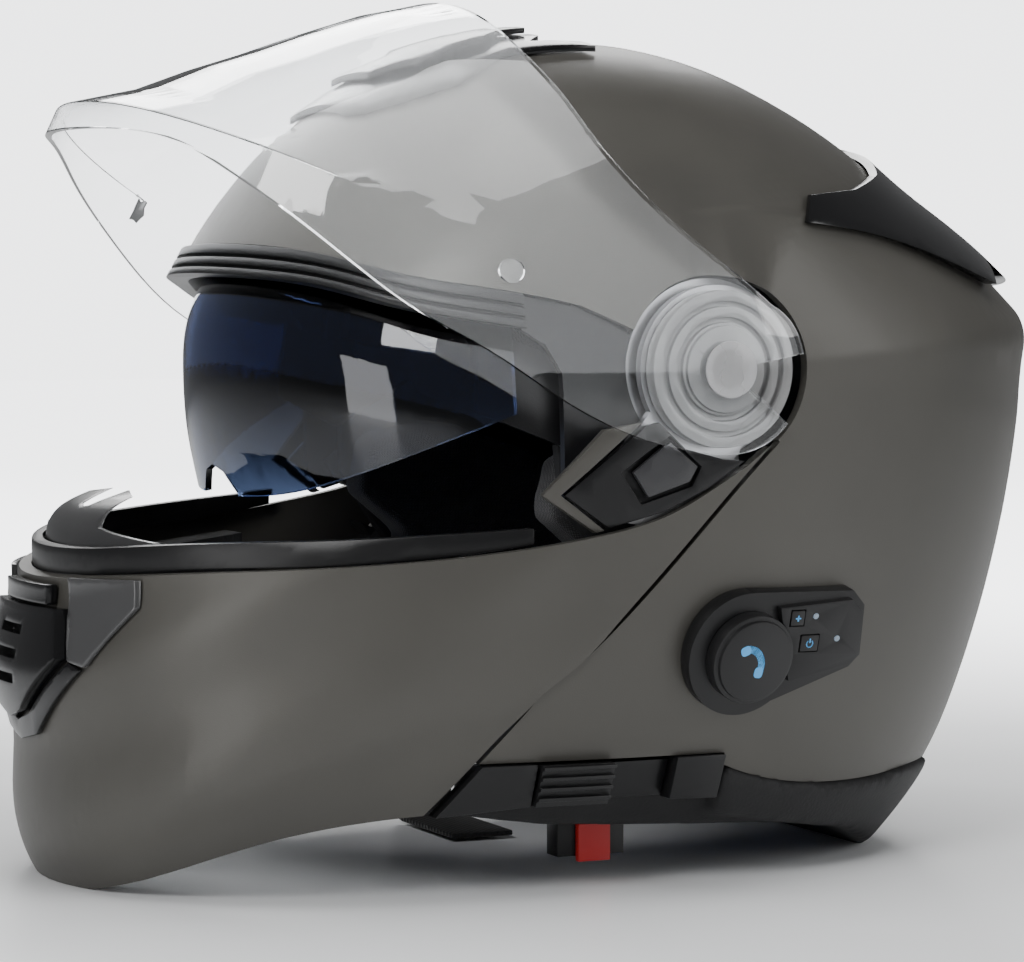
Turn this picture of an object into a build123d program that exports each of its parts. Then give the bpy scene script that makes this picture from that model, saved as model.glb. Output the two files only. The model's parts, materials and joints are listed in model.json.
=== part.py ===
from build123d import *
import math
import os

os.makedirs("parts", exist_ok=True)

# Overall sizes. The front is -X, the wearer's left is -Y, and the helmet stands on z = 0.
LENGTH = 344.0
WIDTH = 248.0
SQUARENESS_ALONG = 2.3
SQUARENESS_ACROSS = 2.1
FAN_STEP = 5
FINENESS = 0.02
SHELL_FAN = (10, 330)
CHIN_FAN = (-135, -10)
ARCH_STEPS = 14

# Walls and clearances
SHELL_WALL = 4.0
VISOR_WALL = 2.2
FOAM_WALL = 27.0
CHIN_FOAM_WALL = 17.0
PAD_WALL = 9.0
CHEEK_WALL = 20.0
SEAT_GAP = 0.3
LINER_GAP = 0.9
TRIM_GAP = 0.7
SEAM_GAP = 1.8
RUN_GAP = 0.05
OVERRUN = 30.0

# Hinge of the chin bar and the clear visor
PIVOT_SHARE = (0.038, 0.462)
POLE_HOLE_RADIUS = 15.0
EAR_HOLE_RADIUS = 28.0

# Fan angles are counted from straight ahead, upwards about the hinge. Each reach is the distance
# from the hinge to the shell's middle line, as a share of the length.
reach_shares = [
    (-45, 0.686), (-40, 0.674), (-34, 0.628), (-28, 0.596), (-22, 0.558), (-15, 0.520), (-5, 0.459),
    (5, 0.401), (13, 0.369), (22, 0.355), (31, 0.344), (50, 0.326), (70, 0.311), (90, 0.302),
    (110, 0.304), (125, 0.311), (140, 0.330), (152, 0.355), (162, 0.395), (170, 0.436),
    (175.5, 0.464), (183, 0.459), (195, 0.462), (206, 0.474), (217, 0.497), (232, 0.541),
    (250, 0.573), (270, 0.581), (290, 0.616), (315, 0.686)]
breadth_shares = [(-45, 1.0), (0, 0.952), (20, 0.927), (80, 0.927), (125, 1.0), (315, 1.0)]
visor_reach_shares = [(-140, 0.532), (24, 0.532), (33, 0.471), (42, 0.424), (51, 0.394), (60, 0.375),
                      (70, 0.360), (170, 0.360)]
VISOR_WIDTH = 254.0


def slope(table, i):
    """Slope of a smooth curve at the i-th entry of a table."""
    before, after = max(i - 1, 0), min(i + 1, len(table) - 1)
    return (table[after][1] - table[before][1]) / (table[after][0] - table[before][0])


def smooth(table, at):
    """Value of the smooth curve through a table, at any angle."""
    if at <= table[0][0]:
        return table[0][1]
    if at >= table[-1][0]:
        return table[-1][1]
    i = max(k for k in range(len(table) - 1) if table[k][0] <= at)
    (a, va), (b, vb) = table[i], table[i + 1]
    width = b - a
    t = (at - a) / width
    rise = vb - va
    sa, sb = slope(table, i) * width, slope(table, i + 1) * width
    if rise == 0:
        return va
    sa, sb = [0 if s * rise < 0 else s for s in (sa, sb)]
    return va + t * (sa + t * ((3 * rise - 2 * sa - sb) + t * (sa + sb - 2 * rise)))


def wrapped(angle):
    """An angle between -45 and 315 degrees."""
    return (angle + 45) % 360 - 45


def shell_form(angle):
    """Reach and half breadth of the shell's outer surface in one fan plane."""
    at = wrapped(angle)
    return LENGTH * smooth(reach_shares, at), WIDTH / 2 * smooth(breadth_shares, at)


def visor_form(angle):
    """Reach and half breadth of the raised visor's outer surface in one fan plane."""
    return LENGTH * smooth(visor_reach_shares, angle), VISOR_WIDTH / 2


PIVOT_X, PIVOT_Z = PIVOT_SHARE[0] * LENGTH, PIVOT_SHARE[1] * LENGTH


def value(size, angle):
    """A size that is fixed, or that follows the fan angle."""
    return size(angle) if callable(size) else size


def inset_form(form, inset):
    """The same form, drawn in by a depth that may follow the fan angle."""
    def drawn_in(angle):
        reach, breadth = form(angle)
        depth = value(inset, angle)
        return reach - depth, breadth - depth
    return drawn_in


def arch_points(angle, hole, form, centre):
    """Points of one arch of the surface, from the left pole over the middle to the right pole."""
    reach, breadth = form(angle)
    start = math.asin((hole / reach) ** (SQUARENESS_ALONG / 2))
    ray = math.radians(angle)
    points = []
    for i in range(ARCH_STEPS + 1):
        t = start + (math.pi - 2 * start) * i / ARCH_STEPS
        out = reach * math.sin(t) ** (2 / SQUARENESS_ALONG)
        across = breadth * abs(math.cos(t)) ** (2 / SQUARENESS_ACROSS)
        points.append(Vector(centre[0] - out * math.cos(ray), math.copysign(across, t - math.pi / 2),
                             centre[1] + out * math.sin(ray)))
    return points


def stations(first, last):
    """Fan angles on one steady grid, so that neighbouring walls run alike."""
    low, high = math.floor(first / FAN_STEP), math.ceil(last / FAN_STEP)
    return [k * FAN_STEP for k in range(low, high + 1)]


def edge_between(face, a, b):
    """The edge of a face whose ends lie at two corners."""
    def miss(edge):
        one, other = edge @ 0, edge @ 1
        return min((one - a).length + (other - b).length, (one - b).length + (other - a).length)
    return min(face.edges(), key=miss)


def between(first, last, outside, inside, hole=POLE_HOLE_RADIUS, centre=(PIVOT_X, PIVOT_Z)):
    """A curved wall between two forms, through arches in fan planes."""
    sheets, rims = [], []
    for form in (outside, inside):
        net = [arch_points(angle, hole, form, centre) for angle in stations(first, last)]
        sheet = Face.make_surface_from_array_of_points(net, tol=FINENESS)
        corners = [net[0][0], net[0][-1], net[-1][-1], net[-1][0]]
        sheets.append(sheet)
        rims.append([edge_between(sheet, a, b) for a, b in zip(corners, corners[1:] + corners[:1])])
    sides = [Face.make_surface_from_curves(a, b) for a, b in zip(*rims)]
    return Solid(Shell(sheets + sides))


def band(first, last, outer, inner, hole=POLE_HOLE_RADIUS, form=shell_form, centre=(PIVOT_X, PIVOT_Z)):
    """A curved wall between two insets of a form."""
    return between(first, last, inset_form(form, outer), inset_form(form, inner), hole, centre)


def place(share, y=0.0):
    """A point from its shares of the length in the side view."""
    return Vector(share[0] * LENGTH, y, share[1] * LENGTH)


def outline(runs, y):
    """A closed wire in the side view. A run of two places is a line, a longer one is a curve."""
    edges = []
    for run in runs:
        points = [place(share, y) for share in run]
        edges.append(Edge.make_line(*points) if len(points) == 2 else Edge.make_spline(points))
    first, last = edges[0] @ 0, edges[-1] @ 1
    if (first - last).length > SEAT_GAP / 100:
        edges.append(Edge.make_line(last, first))
    return Wire(edges)


def side_block(runs, y_from=-WIDTH, y_to=WIDTH):
    """A block with this outline in the side view."""
    return Solid.extrude(Face(outline(runs, y_from)), Vector(0, y_to - y_from, 0))


def lines(shares):
    """Straight runs through these places."""
    return [[a, b] for a, b in zip(shares, shares[1:])]


def disc(radius, y_from, y_to, centre=(PIVOT_X, PIVOT_Z)):
    """A round block along the hinge axis."""
    plane = Plane(origin=(centre[0], y_from, centre[1]), z_dir=(0, 1, 0))
    return Solid.make_cylinder(radius, y_to - y_from, plane)


def mirrored(shape):
    """The same piece on the other side of the middle plane."""
    return shape.mirror(Plane.XZ)


def whole(shape):
    """The largest solid of a cut."""
    return max(shape.solids(), key=lambda s: s.volume)


def keep(name, shape):
    """Write one piece of the helmet."""
    solids = shape.solids()
    export_step(Compound(solids) if len(solids) > 1 else solids[0], "parts/" + name + ".step")


def moved_back(shares, distance):
    """The same places, moved along X."""
    return [(x + distance / LENGTH, z) for x, z in shares]


# Side-view lines shared by several pieces
brow_shares = [(-0.314, 0.574), (-0.273, 0.565), (-0.224, 0.547), (-0.158, 0.533), (-0.081, 0.517)]
seam_shares = [(0.087, 0.398), (0.020, 0.328), (-0.035, 0.267), (-0.090, 0.211)]
seam_jog_shares = [(-0.090, 0.211), (-0.122, 0.186), (-0.209, 0.076)]
shell_hem_shares = [(0.067, 0.110), (0.192, 0.084), (0.262, 0.084), (0.363, 0.084), (0.404, 0.073),
    (0.442, 0.058)]
chin_top_shares = [(-0.483, 0.273), (-0.430, 0.283), (-0.317, 0.293), (-0.177, 0.305), (-0.076, 0.320),
    (-0.017, 0.335), (0.023, 0.355), (0.061, 0.378)]
chin_hem_shares = [(-0.209, 0.076), (-0.279, 0.068), (-0.346, 0.051), (-0.407, 0.023), (-0.433, 0.009),
    (-0.451, 0.000)]


def outer_shell():
    """Painted shell, open at the eye port, the ears and the neck."""
    seam = moved_back(seam_shares, SEAM_GAP)
    jog = moved_back(seam_jog_shares, SEAM_GAP)
    hem_front = (-0.173, 0.122)
    region = side_block([
        [(-0.407, 0.581), brow_shares[0]], brow_shares, [brow_shares[-1], PIVOT_SHARE], [PIVOT_SHARE,
            seam[0]],
        seam, [jog[0], jog[1]], [jog[1], (hem_front[0] + SEAM_GAP / LENGTH, hem_front[1])],
        [(hem_front[0] + SEAM_GAP / LENGTH, hem_front[1]), (0.067, 0.121)], [(0.067, 0.121),
            shell_hem_shares[0]],
        shell_hem_shares] + lines([shell_hem_shares[-1], (0.581, 0.058), (0.581, 0.872), (-0.407, 0.872),
            (-0.407, 0.581)]))
    wall = band(*SHELL_FAN, 0, SHELL_WALL)
    return whole((wall & region) - disc(EAR_HOLE_RADIUS, -WIDTH, WIDTH))


def chin_bar_shell():
    """Painted chin bar, up to the black plates at its ears."""
    region = side_block([
        seam_shares, [seam_jog_shares[0], seam_jog_shares[1]], [seam_jog_shares[1], seam_jog_shares[2]],
        chin_hem_shares, [chin_hem_shares[-1], (-0.552, 0.000)], [(-0.552, 0.000), (-0.552, 0.270)],
        [(-0.552, 0.270), chin_top_shares[0]], chin_top_shares, [chin_top_shares[-1], seam_shares[0]]])
    wall = band(*CHIN_FAN, 0, SHELL_WALL)
    return whole((wall & region) - disc(EAR_HOLE_RADIUS, -WIDTH, WIDTH))



def raised(shares, rise):
    """The same places, moved up."""
    return [(x, z + rise / LENGTH) for x, z in shares]


def strip(low, high):
    """An outline between two long lines that both run from front to back."""
    return [low, [low[-1], high[-1]], high[::-1], [high[0], low[0]]]


def patch(runs, first, last, outer, inner, side=0, form=shell_form, centre=(PIVOT_X, PIVOT_Z),
    hole=POLE_HOLE_RADIUS):
    """A piece of a curved wall with this outline in the side view: left, right or both sides."""
    y_from, y_to = {-1: (-WIDTH, 0), 0: (-WIDTH, WIDTH), 1: (0, WIDTH)}[side]
    return band(first, last, outer, inner, hole, form, centre) & side_block(runs, y_from, y_to)


def ring(shares):
    """A closed outline of straight runs."""
    return lines(list(shares) + [shares[0]])


def front_block(places, x_from, x_to):
    """A block with this outline in the front view, in shares of the length (across, up)."""
    corners = [Vector(x_from, y * LENGTH, z * LENGTH) for y, z in places]
    return Solid.extrude(Face(Wire.make_polygon(corners)), Vector(x_to - x_from, 0, 0))


def top_block(places, z_from, z_to):
    """A block with this outline in the top view, in shares of the length (along, across)."""
    corners = [Vector(x * LENGTH, y * LENGTH, z_from) for x, y in places]
    return Solid.extrude(Face(Wire.make_polygon(corners)), Vector(0, 0, z_to - z_from))


def both_ways(places):
    """A half outline and its mirror image, as one closed outline."""
    return list(places) + [(a, -b) for a, b in reversed(places) if b != 0]


def both_across(places):
    """A half outline in the front view and its mirror image, as one closed outline."""
    return list(places) + [(-a, b) for a, b in reversed(places) if a != 0]


# Brow gasket
GASKET_RIB = 2.3
GASKET_DEPTH = 5.0
GASKET_HEIGHT = 10.5
GROOVE_DEPTH = 1.8
GROOVE_HEIGHT = 1.1
brow_gasket_reach_share = 0.375
brow_line_shares = [(-0.407, 0.593), (-0.314, 0.574), (-0.273, 0.565), (-0.224, 0.547), (-0.158, 0.533),
    (-0.130, 0.528)]


def brow_gasket_form(angle):
    """The shell's form, kept behind the closed visor."""
    reach, breadth = shell_form(angle)
    return min(reach + GASKET_RIB, brow_gasket_reach_share * LENGTH), breadth + GASKET_RIB


def brow_gasket():
    """Three-ribbed rubber seal along the top of the eye port."""
    top = raised(brow_line_shares, -SEAT_GAP)
    low = raised(brow_line_shares, -GASKET_HEIGHT)
    seal = patch(strip(low, top), -14, 34, 0, GASKET_DEPTH + GASKET_RIB, form=brow_gasket_form)
    for drop in (GASKET_HEIGHT / 3, GASKET_HEIGHT * 2 / 3):
        groove = strip(raised(brow_line_shares, -drop - GROOVE_HEIGHT), raised(brow_line_shares, -drop))
        seal -= patch(groove, -14, 34, -GASKET_RIB, GROOVE_DEPTH, form=brow_gasket_form)
    return whole(seal)


# Black frames at the rear corners of the eye port
FRAME_BREADTH = 112.3
FRAME_WALL = 3.0
HINGE_PLATE_RADIUS = 27.0
frame_shares = [(-0.129, 0.496), (-0.129, 0.526), (-0.081, 0.515), (-0.032, 0.490), (0.000, 0.465),
    (-0.015, 0.407), (-0.096, 0.340), (-0.098, 0.459), (-0.110, 0.483)]


def frame_form(angle):
    """A narrower form that passes under the chin bar's arms."""
    return shell_form(angle)[0], FRAME_BREADTH


def side_frame():
    """Left frame, under the arm and the visor's boss."""
    frame = patch(ring(frame_shares), -62, 46, 0, FRAME_WALL, -1, frame_form)
    return whole(frame - disc(HINGE_PLATE_RADIUS + SEAT_GAP, -WIDTH, 0))


# Hinge: fixed plates and pins, and the chin bar's flat arms
HINGE_PLATE_IN, HINGE_PLATE_OUT = 107.0, 110.6
PIN_RADIUS = 5.0
PIN_HEAD_RADIUS = 8.0
PIN_HEAD = 2.8
PIN_OUT = 121.8
ARM_IN, ARM_OUT = 113.6, 116.6
ARM_RADIUS = 25.0
BOSS_RADIUS = 4.0
BOSS_OUT = 117.4
arm_shares = [(-0.017, 0.436), (-0.076, 0.360), (-0.047, 0.330), (0.023, 0.317), (0.064, 0.395)]
boss_share = (0.009, 0.333)
SUN_PIVOT_SHARE = (0.047, 0.355)
SUN_X, SUN_Z = SUN_PIVOT_SHARE[0] * LENGTH, SUN_PIVOT_SHARE[1] * LENGTH
SUN_TONGUE_RADIUS = 9.0
SUN_PIN_RADIUS = 3.0


def flat_plate(shares, y_from, y_to):
    """A flat plate with a straight-sided outline in the side view."""
    return side_block(ring(shares), y_from, y_to)


def hinge_plates():
    """Plates inside the shell that hold both hinges, left and right."""
    tongue = [(PIVOT_SHARE[0] + d * SUN_TONGUE_RADIUS / LENGTH, PIVOT_SHARE[1]) for d in (-1, 1)]
    tongue += [(SUN_PIVOT_SHARE[0] + d * SUN_TONGUE_RADIUS / LENGTH, SUN_PIVOT_SHARE[1]) for d in (1, -1)]
    plate = disc(HINGE_PLATE_RADIUS, -HINGE_PLATE_OUT, -HINGE_PLATE_IN)
    plate += flat_plate(tongue, -HINGE_PLATE_OUT, -HINGE_PLATE_IN)
    plate += disc(SUN_TONGUE_RADIUS, -HINGE_PLATE_OUT, -HINGE_PLATE_IN, (SUN_X, SUN_Z))
    plate -= disc(PIN_RADIUS + RUN_GAP, -WIDTH, WIDTH)
    plate -= disc(SUN_PIN_RADIUS + RUN_GAP, -WIDTH, WIDTH, (SUN_X, SUN_Z))
    return Compound([whole(plate), mirrored(whole(plate))])


def hinge_pins():
    """Headed pins that the chin bar turns on."""
    pin = disc(PIN_RADIUS, -PIN_OUT, -HINGE_PLATE_IN + SEAT_GAP)
    pin += disc(PIN_HEAD_RADIUS, -HINGE_PLATE_IN + SEAT_GAP, -HINGE_PLATE_IN + SEAT_GAP + PIN_HEAD)
    return Compound([whole(pin), mirrored(whole(pin))])


def chin_arm():
    """Left flat arm between the hinge and the chin bar."""
    arm = disc(ARM_RADIUS, -ARM_OUT, -ARM_IN) + flat_plate(arm_shares, -ARM_OUT, -ARM_IN)
    arm += disc(BOSS_RADIUS, -BOSS_OUT, -ARM_OUT, (boss_share[0] * LENGTH, boss_share[1] * LENGTH))
    return whole(arm - disc(PIN_RADIUS + RUN_GAP, -WIDTH, WIDTH))


# Visor bases, which the visor's bosses turn on
BASE_RADIUS = 23.5
BASE_OUT = 122.4
BASE_STEP_RADIUS = 13.0
BASE_STEP_OUT = 123.8
BASE_GROOVE = 1.6
base_ring_shares = [0.86, 0.66]


def visor_base():
    """Left ringed base on the chin bar's arm."""
    base = disc(BASE_RADIUS, -BASE_OUT, -ARM_OUT - SEAT_GAP) + disc(BASE_STEP_RADIUS, -BASE_STEP_OUT,
        -BASE_OUT)
    for share in base_ring_shares:
        outside = share * BASE_RADIUS
        groove = disc(outside, -BASE_OUT, -BASE_OUT + BASE_GROOVE)
        base -= groove - disc(outside - BASE_GROOVE, -BASE_OUT, -BASE_OUT + BASE_GROOVE)
    return whole(base - disc(PIN_RADIUS + RUN_GAP, -PIN_OUT - SEAT_GAP, 0))


# Black side plates, their V strips and the visor release levers, all behind the closed visor
PLATE_INSET = 3.7
PLATE_BACK = 6.3
LEVER_INSET = 3.4
LEVER_BACK = 5.2
POCKET_FLOOR = 5.9
v_strip_shares = [(-0.074, 0.411), (-0.127, 0.355), (-0.078, 0.322), (-0.070, 0.324), (-0.111, 0.355),
    (-0.041, 0.417)]
plate_shares = [(-0.037, 0.414), (-0.107, 0.355), (-0.066, 0.326), (-0.017, 0.339), (0.023, 0.358),
    (0.059, 0.382), (0.038, 0.384), (0.000, 0.394), (-0.025, 0.417)]
lever_shares = [(-0.047, 0.374), (-0.032, 0.352), (0.006, 0.365), (0.013, 0.378), (-0.015, 0.400)]
pocket_shares = [(-0.058, 0.374), (-0.038, 0.346), (0.009, 0.361), (0.017, 0.378), (-0.015, 0.405)]


def trim_strip():
    """Left painted V strip."""
    return whole(patch(ring(v_strip_shares), -80, 0, LEVER_INSET, PLATE_BACK, -1, visor_form))


def side_plate():
    """Left black plate with the lever's pocket."""
    plate = patch(ring(plate_shares), -120, 0, PLATE_INSET, PLATE_BACK, -1, visor_form)
    return whole(plate - patch(ring(pocket_shares), -100, 0, 0, POCKET_FLOOR, -1, visor_form))


def visor_lever():
    """Left sliding lever that frees the visor."""
    return whole(patch(ring(lever_shares), -100, 0, LEVER_INSET, LEVER_BACK, -1, visor_form))


# Clear visor
VISOR_HOLE_RADIUS = 6.0
SCREW_RADIUS = 5.95
SCREW_CAP_RADIUS = 8.5
SCREW_CAP = 1.0
visor_low_shares = [(-0.509, 0.680), (-0.442, 0.674), (-0.404, 0.664), (-0.369, 0.635), (-0.328, 0.596),
    (-0.282, 0.552), (-0.233, 0.512), (-0.180, 0.481),
                    (-0.116, 0.438), (-0.062, 0.410), (-0.026, 0.398), (0.012, 0.391)]
visor_ear_shares = [(0.012, 0.391), (0.038, 0.388), (0.076, 0.398), (0.105, 0.429), (0.113, 0.462),
    (0.106, 0.493), (0.081, 0.517)]
visor_top_shares = [(0.081, 0.517), (0.051, 0.541), (0.009, 0.574), (-0.029, 0.612), (-0.061, 0.660),
    (-0.078, 0.706), (-0.090, 0.741), (-0.096, 0.773), (-0.099, 0.843)]


def clear_visor():
    """Raised clear visor with its two ears in one moulding."""
    region = side_block([visor_low_shares, visor_ear_shares, visor_top_shares,
                         [visor_top_shares[-1], (-0.509, 0.843)], [(-0.509, 0.843), visor_low_shares[0]]])
    wall = band(-140, 170, 0, VISOR_WALL, VISOR_HOLE_RADIUS + SEAT_GAP, visor_form) & region
    rim = (-VISOR_WIDTH / 2 + VISOR_WALL, -VISOR_WIDTH / 2)
    collar = disc(SCREW_CAP_RADIUS, rim[1] + SEAT_GAP, rim[0]) + disc(SCREW_CAP_RADIUS, -rim[0],
        -rim[1] - SEAT_GAP)
    return whole(wall + collar - disc(VISOR_HOLE_RADIUS, -WIDTH, WIDTH))


def visor_screws():
    """Caps that hold the visor's ears on their bases."""
    top = VISOR_WIDTH / 2 + RUN_GAP
    cap = disc(SCREW_CAP_RADIUS, -top - SCREW_CAP, -top) + disc(SCREW_RADIUS, -top, -BASE_STEP_OUT)
    return Compound([whole(cap), mirrored(whole(cap))])


PINLOCK_RADIUS = 3.6
PINLOCK_PROUD = 1.6
pinlock_share = (-0.160, 0.547)


def pinlock_pins():
    """Round pins through the visor that would hold an inner lens."""
    x, z = pinlock_share[0] * LENGTH, pinlock_share[1] * LENGTH
    pin = disc(PINLOCK_RADIUS, -WIDTH, 0, (x, z)) & band(0, 30, -PINLOCK_PROUD, -SEAT_GAP,
        form=visor_form)
    return Compound([whole(pin), mirrored(whole(pin))])


# Sun visor
SUN_BREADTH = 104.0
SUN_ARM_INSET = 2.7
SUN_ARM_BACK = 4.9
SUN_EYE_RADIUS = 10.0
sun_reach_shares = [(-40, 0.340), (-12, 0.340), (-2, 0.346), (12, 0.369), (24.7, 0.390), (70, 0.395)]
sun_low_shares = [(-0.378, 0.343), (-0.320, 0.342), (-0.294, 0.344), (-0.250, 0.362), (-0.201, 0.387),
    (-0.151, 0.410), (-0.122, 0.423)]
sun_arm_shares = [(-0.151, 0.424), (-0.145, 0.500), (-0.058, 0.459), (0.052, 0.379), (0.049, 0.327),
    (0.012, 0.337), (-0.064, 0.387)]
nose_shares = [(0.000, 0.371), (0.023, 0.365), (0.044, 0.346), (0.055, 0.320)]


def sun_form(angle):
    """The sun visor's outer surface, about its own hinge."""
    return LENGTH * smooth(sun_reach_shares, angle), SUN_BREADTH


def sun_visor():
    """Dark inner visor with its nose cut-out."""
    region = [sun_low_shares, [sun_low_shares[-1], (-0.122, 0.581)], [(-0.122, 0.581), (-0.378, 0.625)],
        [(-0.378, 0.625), sun_low_shares[0]]]
    lens = patch(region, -14, 38, 0, VISOR_WALL, form=sun_form, centre=(SUN_X, SUN_Z))
    return whole(lens - front_block(both_across(nose_shares), -WIDTH, 0))


def sun_visor_arms():
    """Arms from the sun visor back to its hinge, left and right."""
    arm = patch(ring(sun_arm_shares), -60, 60, SUN_ARM_INSET, SUN_ARM_BACK, -1, sun_form, (SUN_X, SUN_Z),
        SUN_EYE_RADIUS / 2)
    eye = disc(SUN_EYE_RADIUS, -SUN_BREADTH + SUN_ARM_INSET + SEAT_GAP, -SUN_BREADTH + SUN_ARM_BACK,
        (SUN_X, SUN_Z))
    arm = whole(arm + eye) - disc(SUN_PIN_RADIUS + RUN_GAP, -WIDTH, WIDTH, (SUN_X, SUN_Z))
    return Compound([whole(arm), mirrored(whole(arm))])


def sun_visor_pins():
    """Pins that the sun visor turns on, left and right."""
    inner = SUN_BREADTH - SUN_ARM_BACK - 2 * SEAT_GAP
    pin = disc(SUN_PIN_RADIUS, -HINGE_PLATE_OUT, -inner, (SUN_X, SUN_Z))
    pin += disc(SUN_PIN_RADIUS * 2, -inner, -inner + VISOR_WALL, (SUN_X, SUN_Z))
    return Compound([whole(pin), mirrored(whole(pin))])

# Rubber edge and black furniture of the chin bar
CHIN_GASKET_INSET = 4.3
CHIN_GASKET_BACK = 8.0
gasket_low_shares = [(-0.523, 0.274), (-0.483, 0.274), (-0.430, 0.284), (-0.317, 0.294), (-0.177, 0.306),
    (-0.131, 0.313)]
gasket_top_shares = [(-0.523, 0.295), (-0.483, 0.298), (-0.430, 0.307), (-0.317, 0.316), (-0.177, 0.324),
    (-0.131, 0.327)]


def chin_gasket():
    """Rubber seal along the top of the chin bar."""
    return whole(patch(strip(gasket_low_shares, gasket_top_shares), *CHIN_FAN, CHIN_GASKET_INSET,
        CHIN_GASKET_BACK))


CHIN_LINER_FRONT = SHELL_WALL + LINER_GAP
chin_liner_shares = [(-0.180, 0.116), (-0.180, 0.288), (-0.317, 0.276), (-0.430, 0.265), (-0.552, 0.256),
    (-0.552, 0.041), (-0.430, 0.047), (-0.346, 0.073), (-0.262, 0.093)]


def chin_bar_liner():
    """Foam inside the chin bar."""
    return whole(patch(ring(chin_liner_shares), *CHIN_FAN, CHIN_LINER_FRONT,
        CHIN_LINER_FRONT + CHIN_FOAM_WALL))


# Chin vent: a black centre piece, its grey cheeks, a lip below and a shutter above
VENT_CHEEK_PROUD = 2.6
VENT_LIP_PROUD = 2.2
SHUTTER_PROUD = 4.4
vent_proud_shares = [(-40, 0.005), (-33, 0.009), (-27, 0.019), (-21, 0.019), (-17, 0.009)]
vent_half_shares = [(0.000, 0.250), (0.084, 0.250), (0.089, 0.241), (0.102, 0.208), (0.032, 0.157),
    (0.000, 0.148)]
vent_cheek_shares = [(0.087, 0.278), (0.166, 0.280), (0.170, 0.256), (0.126, 0.202), (0.105, 0.206),
    (0.091, 0.242)]
vent_lip_shares = [(0.000, 0.145), (0.033, 0.154), (0.105, 0.205), (0.121, 0.199), (0.041, 0.135), (0.000,
    0.127)]
shutter_shares = [(0.000, 0.270), (0.061, 0.270), (0.061, 0.252), (0.000, 0.252)]


def vent_outside(angle):
    """How far the vent's centre stands off the chin bar."""
    return -LENGTH * smooth(vent_proud_shares, angle if angle < 180 else angle - 360)


def front_patch(places, outer, inner):
    """A piece of the curved wall with this outline in the front view."""
    return band(*CHIN_FAN, outer, inner) & front_block(places, -WIDTH, 0)


def slotted(shape, count, low, pitch, height, half, depth_from):
    """A piece with level slots cut across its front."""
    for i in range(count):
        z = (low + i * pitch) / LENGTH
        h = height / LENGTH
        w = half / LENGTH
        slot = front_block([(-w, z), (w, z), (w, z + h), (-w, z + h)], -WIDTH, 0)
        shape -= slot & band(*CHIN_FAN, -OVERRUN, depth_from)
    return shape


VENT_SLOT_LOW, VENT_SLOT_PITCH, VENT_SLOT_HEIGHT, VENT_SLOT_HALF = 62.0, 7.5, 3.0, 10.0


def chin_vent_frame():
    """Black centre piece of the chin vent, with three air slots."""
    frame = front_patch(both_across(vent_half_shares), vent_outside, -TRIM_GAP)
    return whole(slotted(frame, 3, VENT_SLOT_LOW, VENT_SLOT_PITCH, VENT_SLOT_HEIGHT, VENT_SLOT_HALF,
        -SHELL_WALL / 2))


def chin_vent_shutter():
    """Sliding shutter above the vent's centre piece."""
    return whole(front_patch(both_across(shutter_shares), -SHUTTER_PROUD, -TRIM_GAP))


def vent_cheek():
    """Left grey trim beside the vent."""
    places = [(-a, b) for a, b in vent_cheek_shares]
    return whole(front_patch(places, -VENT_CHEEK_PROUD, -TRIM_GAP))


def vent_lip():
    """Lip below the vent."""
    return whole(front_patch(both_across(vent_lip_shares), -VENT_LIP_PROUD, -TRIM_GAP))


# Breath guard, chin curtain, release button and microphone
guard_inset_shares = [(-19, 0.026), (-17.5, 0.027), (-15, 0.041), (-13, 0.052), (-9, 0.073)]
GUARD_WALL = 1.8
guard_places_shares = [(0.145, 0.285), (0.145, 0.310), (0.099, 0.316), (0.073, 0.320), (0.061, 0.346),
    (0.023, 0.350), (0.012, 0.337), (0.000, 0.335)]


def guard_inset(angle):
    """The guard leans back towards the rider."""
    return LENGTH * smooth(guard_inset_shares, angle)


def breath_guard():
    """Upright nose guard with two low wings."""
    places = both_across(guard_places_shares)
    return whole(front_patch(places, guard_inset, lambda angle: guard_inset(angle) + GUARD_WALL))


CURTAIN_INSET = CHIN_LINER_FRONT + CHIN_FOAM_WALL + LINER_GAP
CURTAIN_WALL = 2.0
curtain_shares = [(-0.244, 0.110), (-0.262, 0.047), (-0.346, 0.026), (-0.372, 0.023), (-0.372, 0.116),
    (-0.346, 0.128)]


def chin_curtain():
    """Cloth skirt that closes the chin bar underneath."""
    return whole(patch(ring(curtain_shares), *CHIN_FAN, CURTAIN_INSET, CURTAIN_INSET + CURTAIN_WALL))


BUTTON_HALF = 11.0
BUTTON_WALL = 9.0
BUTTON_PLAY = 0.4
HOUSING_WALL = 2.0
housing_share = (-0.431, 0.000)
HOUSING_LOW = 2.4
BUTTON_LOW = 1.0
HOUSING_TOP = 13.0
BUTTON_TOP = 9.4


def block(x, y, z, x_size, y_size, z_size):
    """A square block between its lowest corner and its sizes."""
    return Solid.make_box(x_size, y_size, z_size, Plane(origin=(x, y, z)))


def release_housing():
    """Housing of the chin bar's release, inside its lower lip."""
    x = housing_share[0] * LENGTH
    deep = BUTTON_WALL / 2 + BUTTON_PLAY
    wide = BUTTON_HALF + BUTTON_PLAY
    body = block(x - deep - HOUSING_WALL, -wide - HOUSING_WALL, HOUSING_LOW,
                 2 * (deep + HOUSING_WALL), 2 * (wide + HOUSING_WALL), HOUSING_TOP - HOUSING_LOW)
    return whole(body - block(x - deep, -wide, 0, 2 * deep, 2 * wide, HOUSING_TOP - HOUSING_WALL / 2))


def chin_release_button():
    """Red button that is pressed up to free the chin bar."""
    x = housing_share[0] * LENGTH
    return block(x - BUTTON_WALL / 2, -BUTTON_HALF, BUTTON_LOW, BUTTON_WALL, 2 * BUTTON_HALF,
        BUTTON_TOP - BUTTON_LOW)


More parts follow.
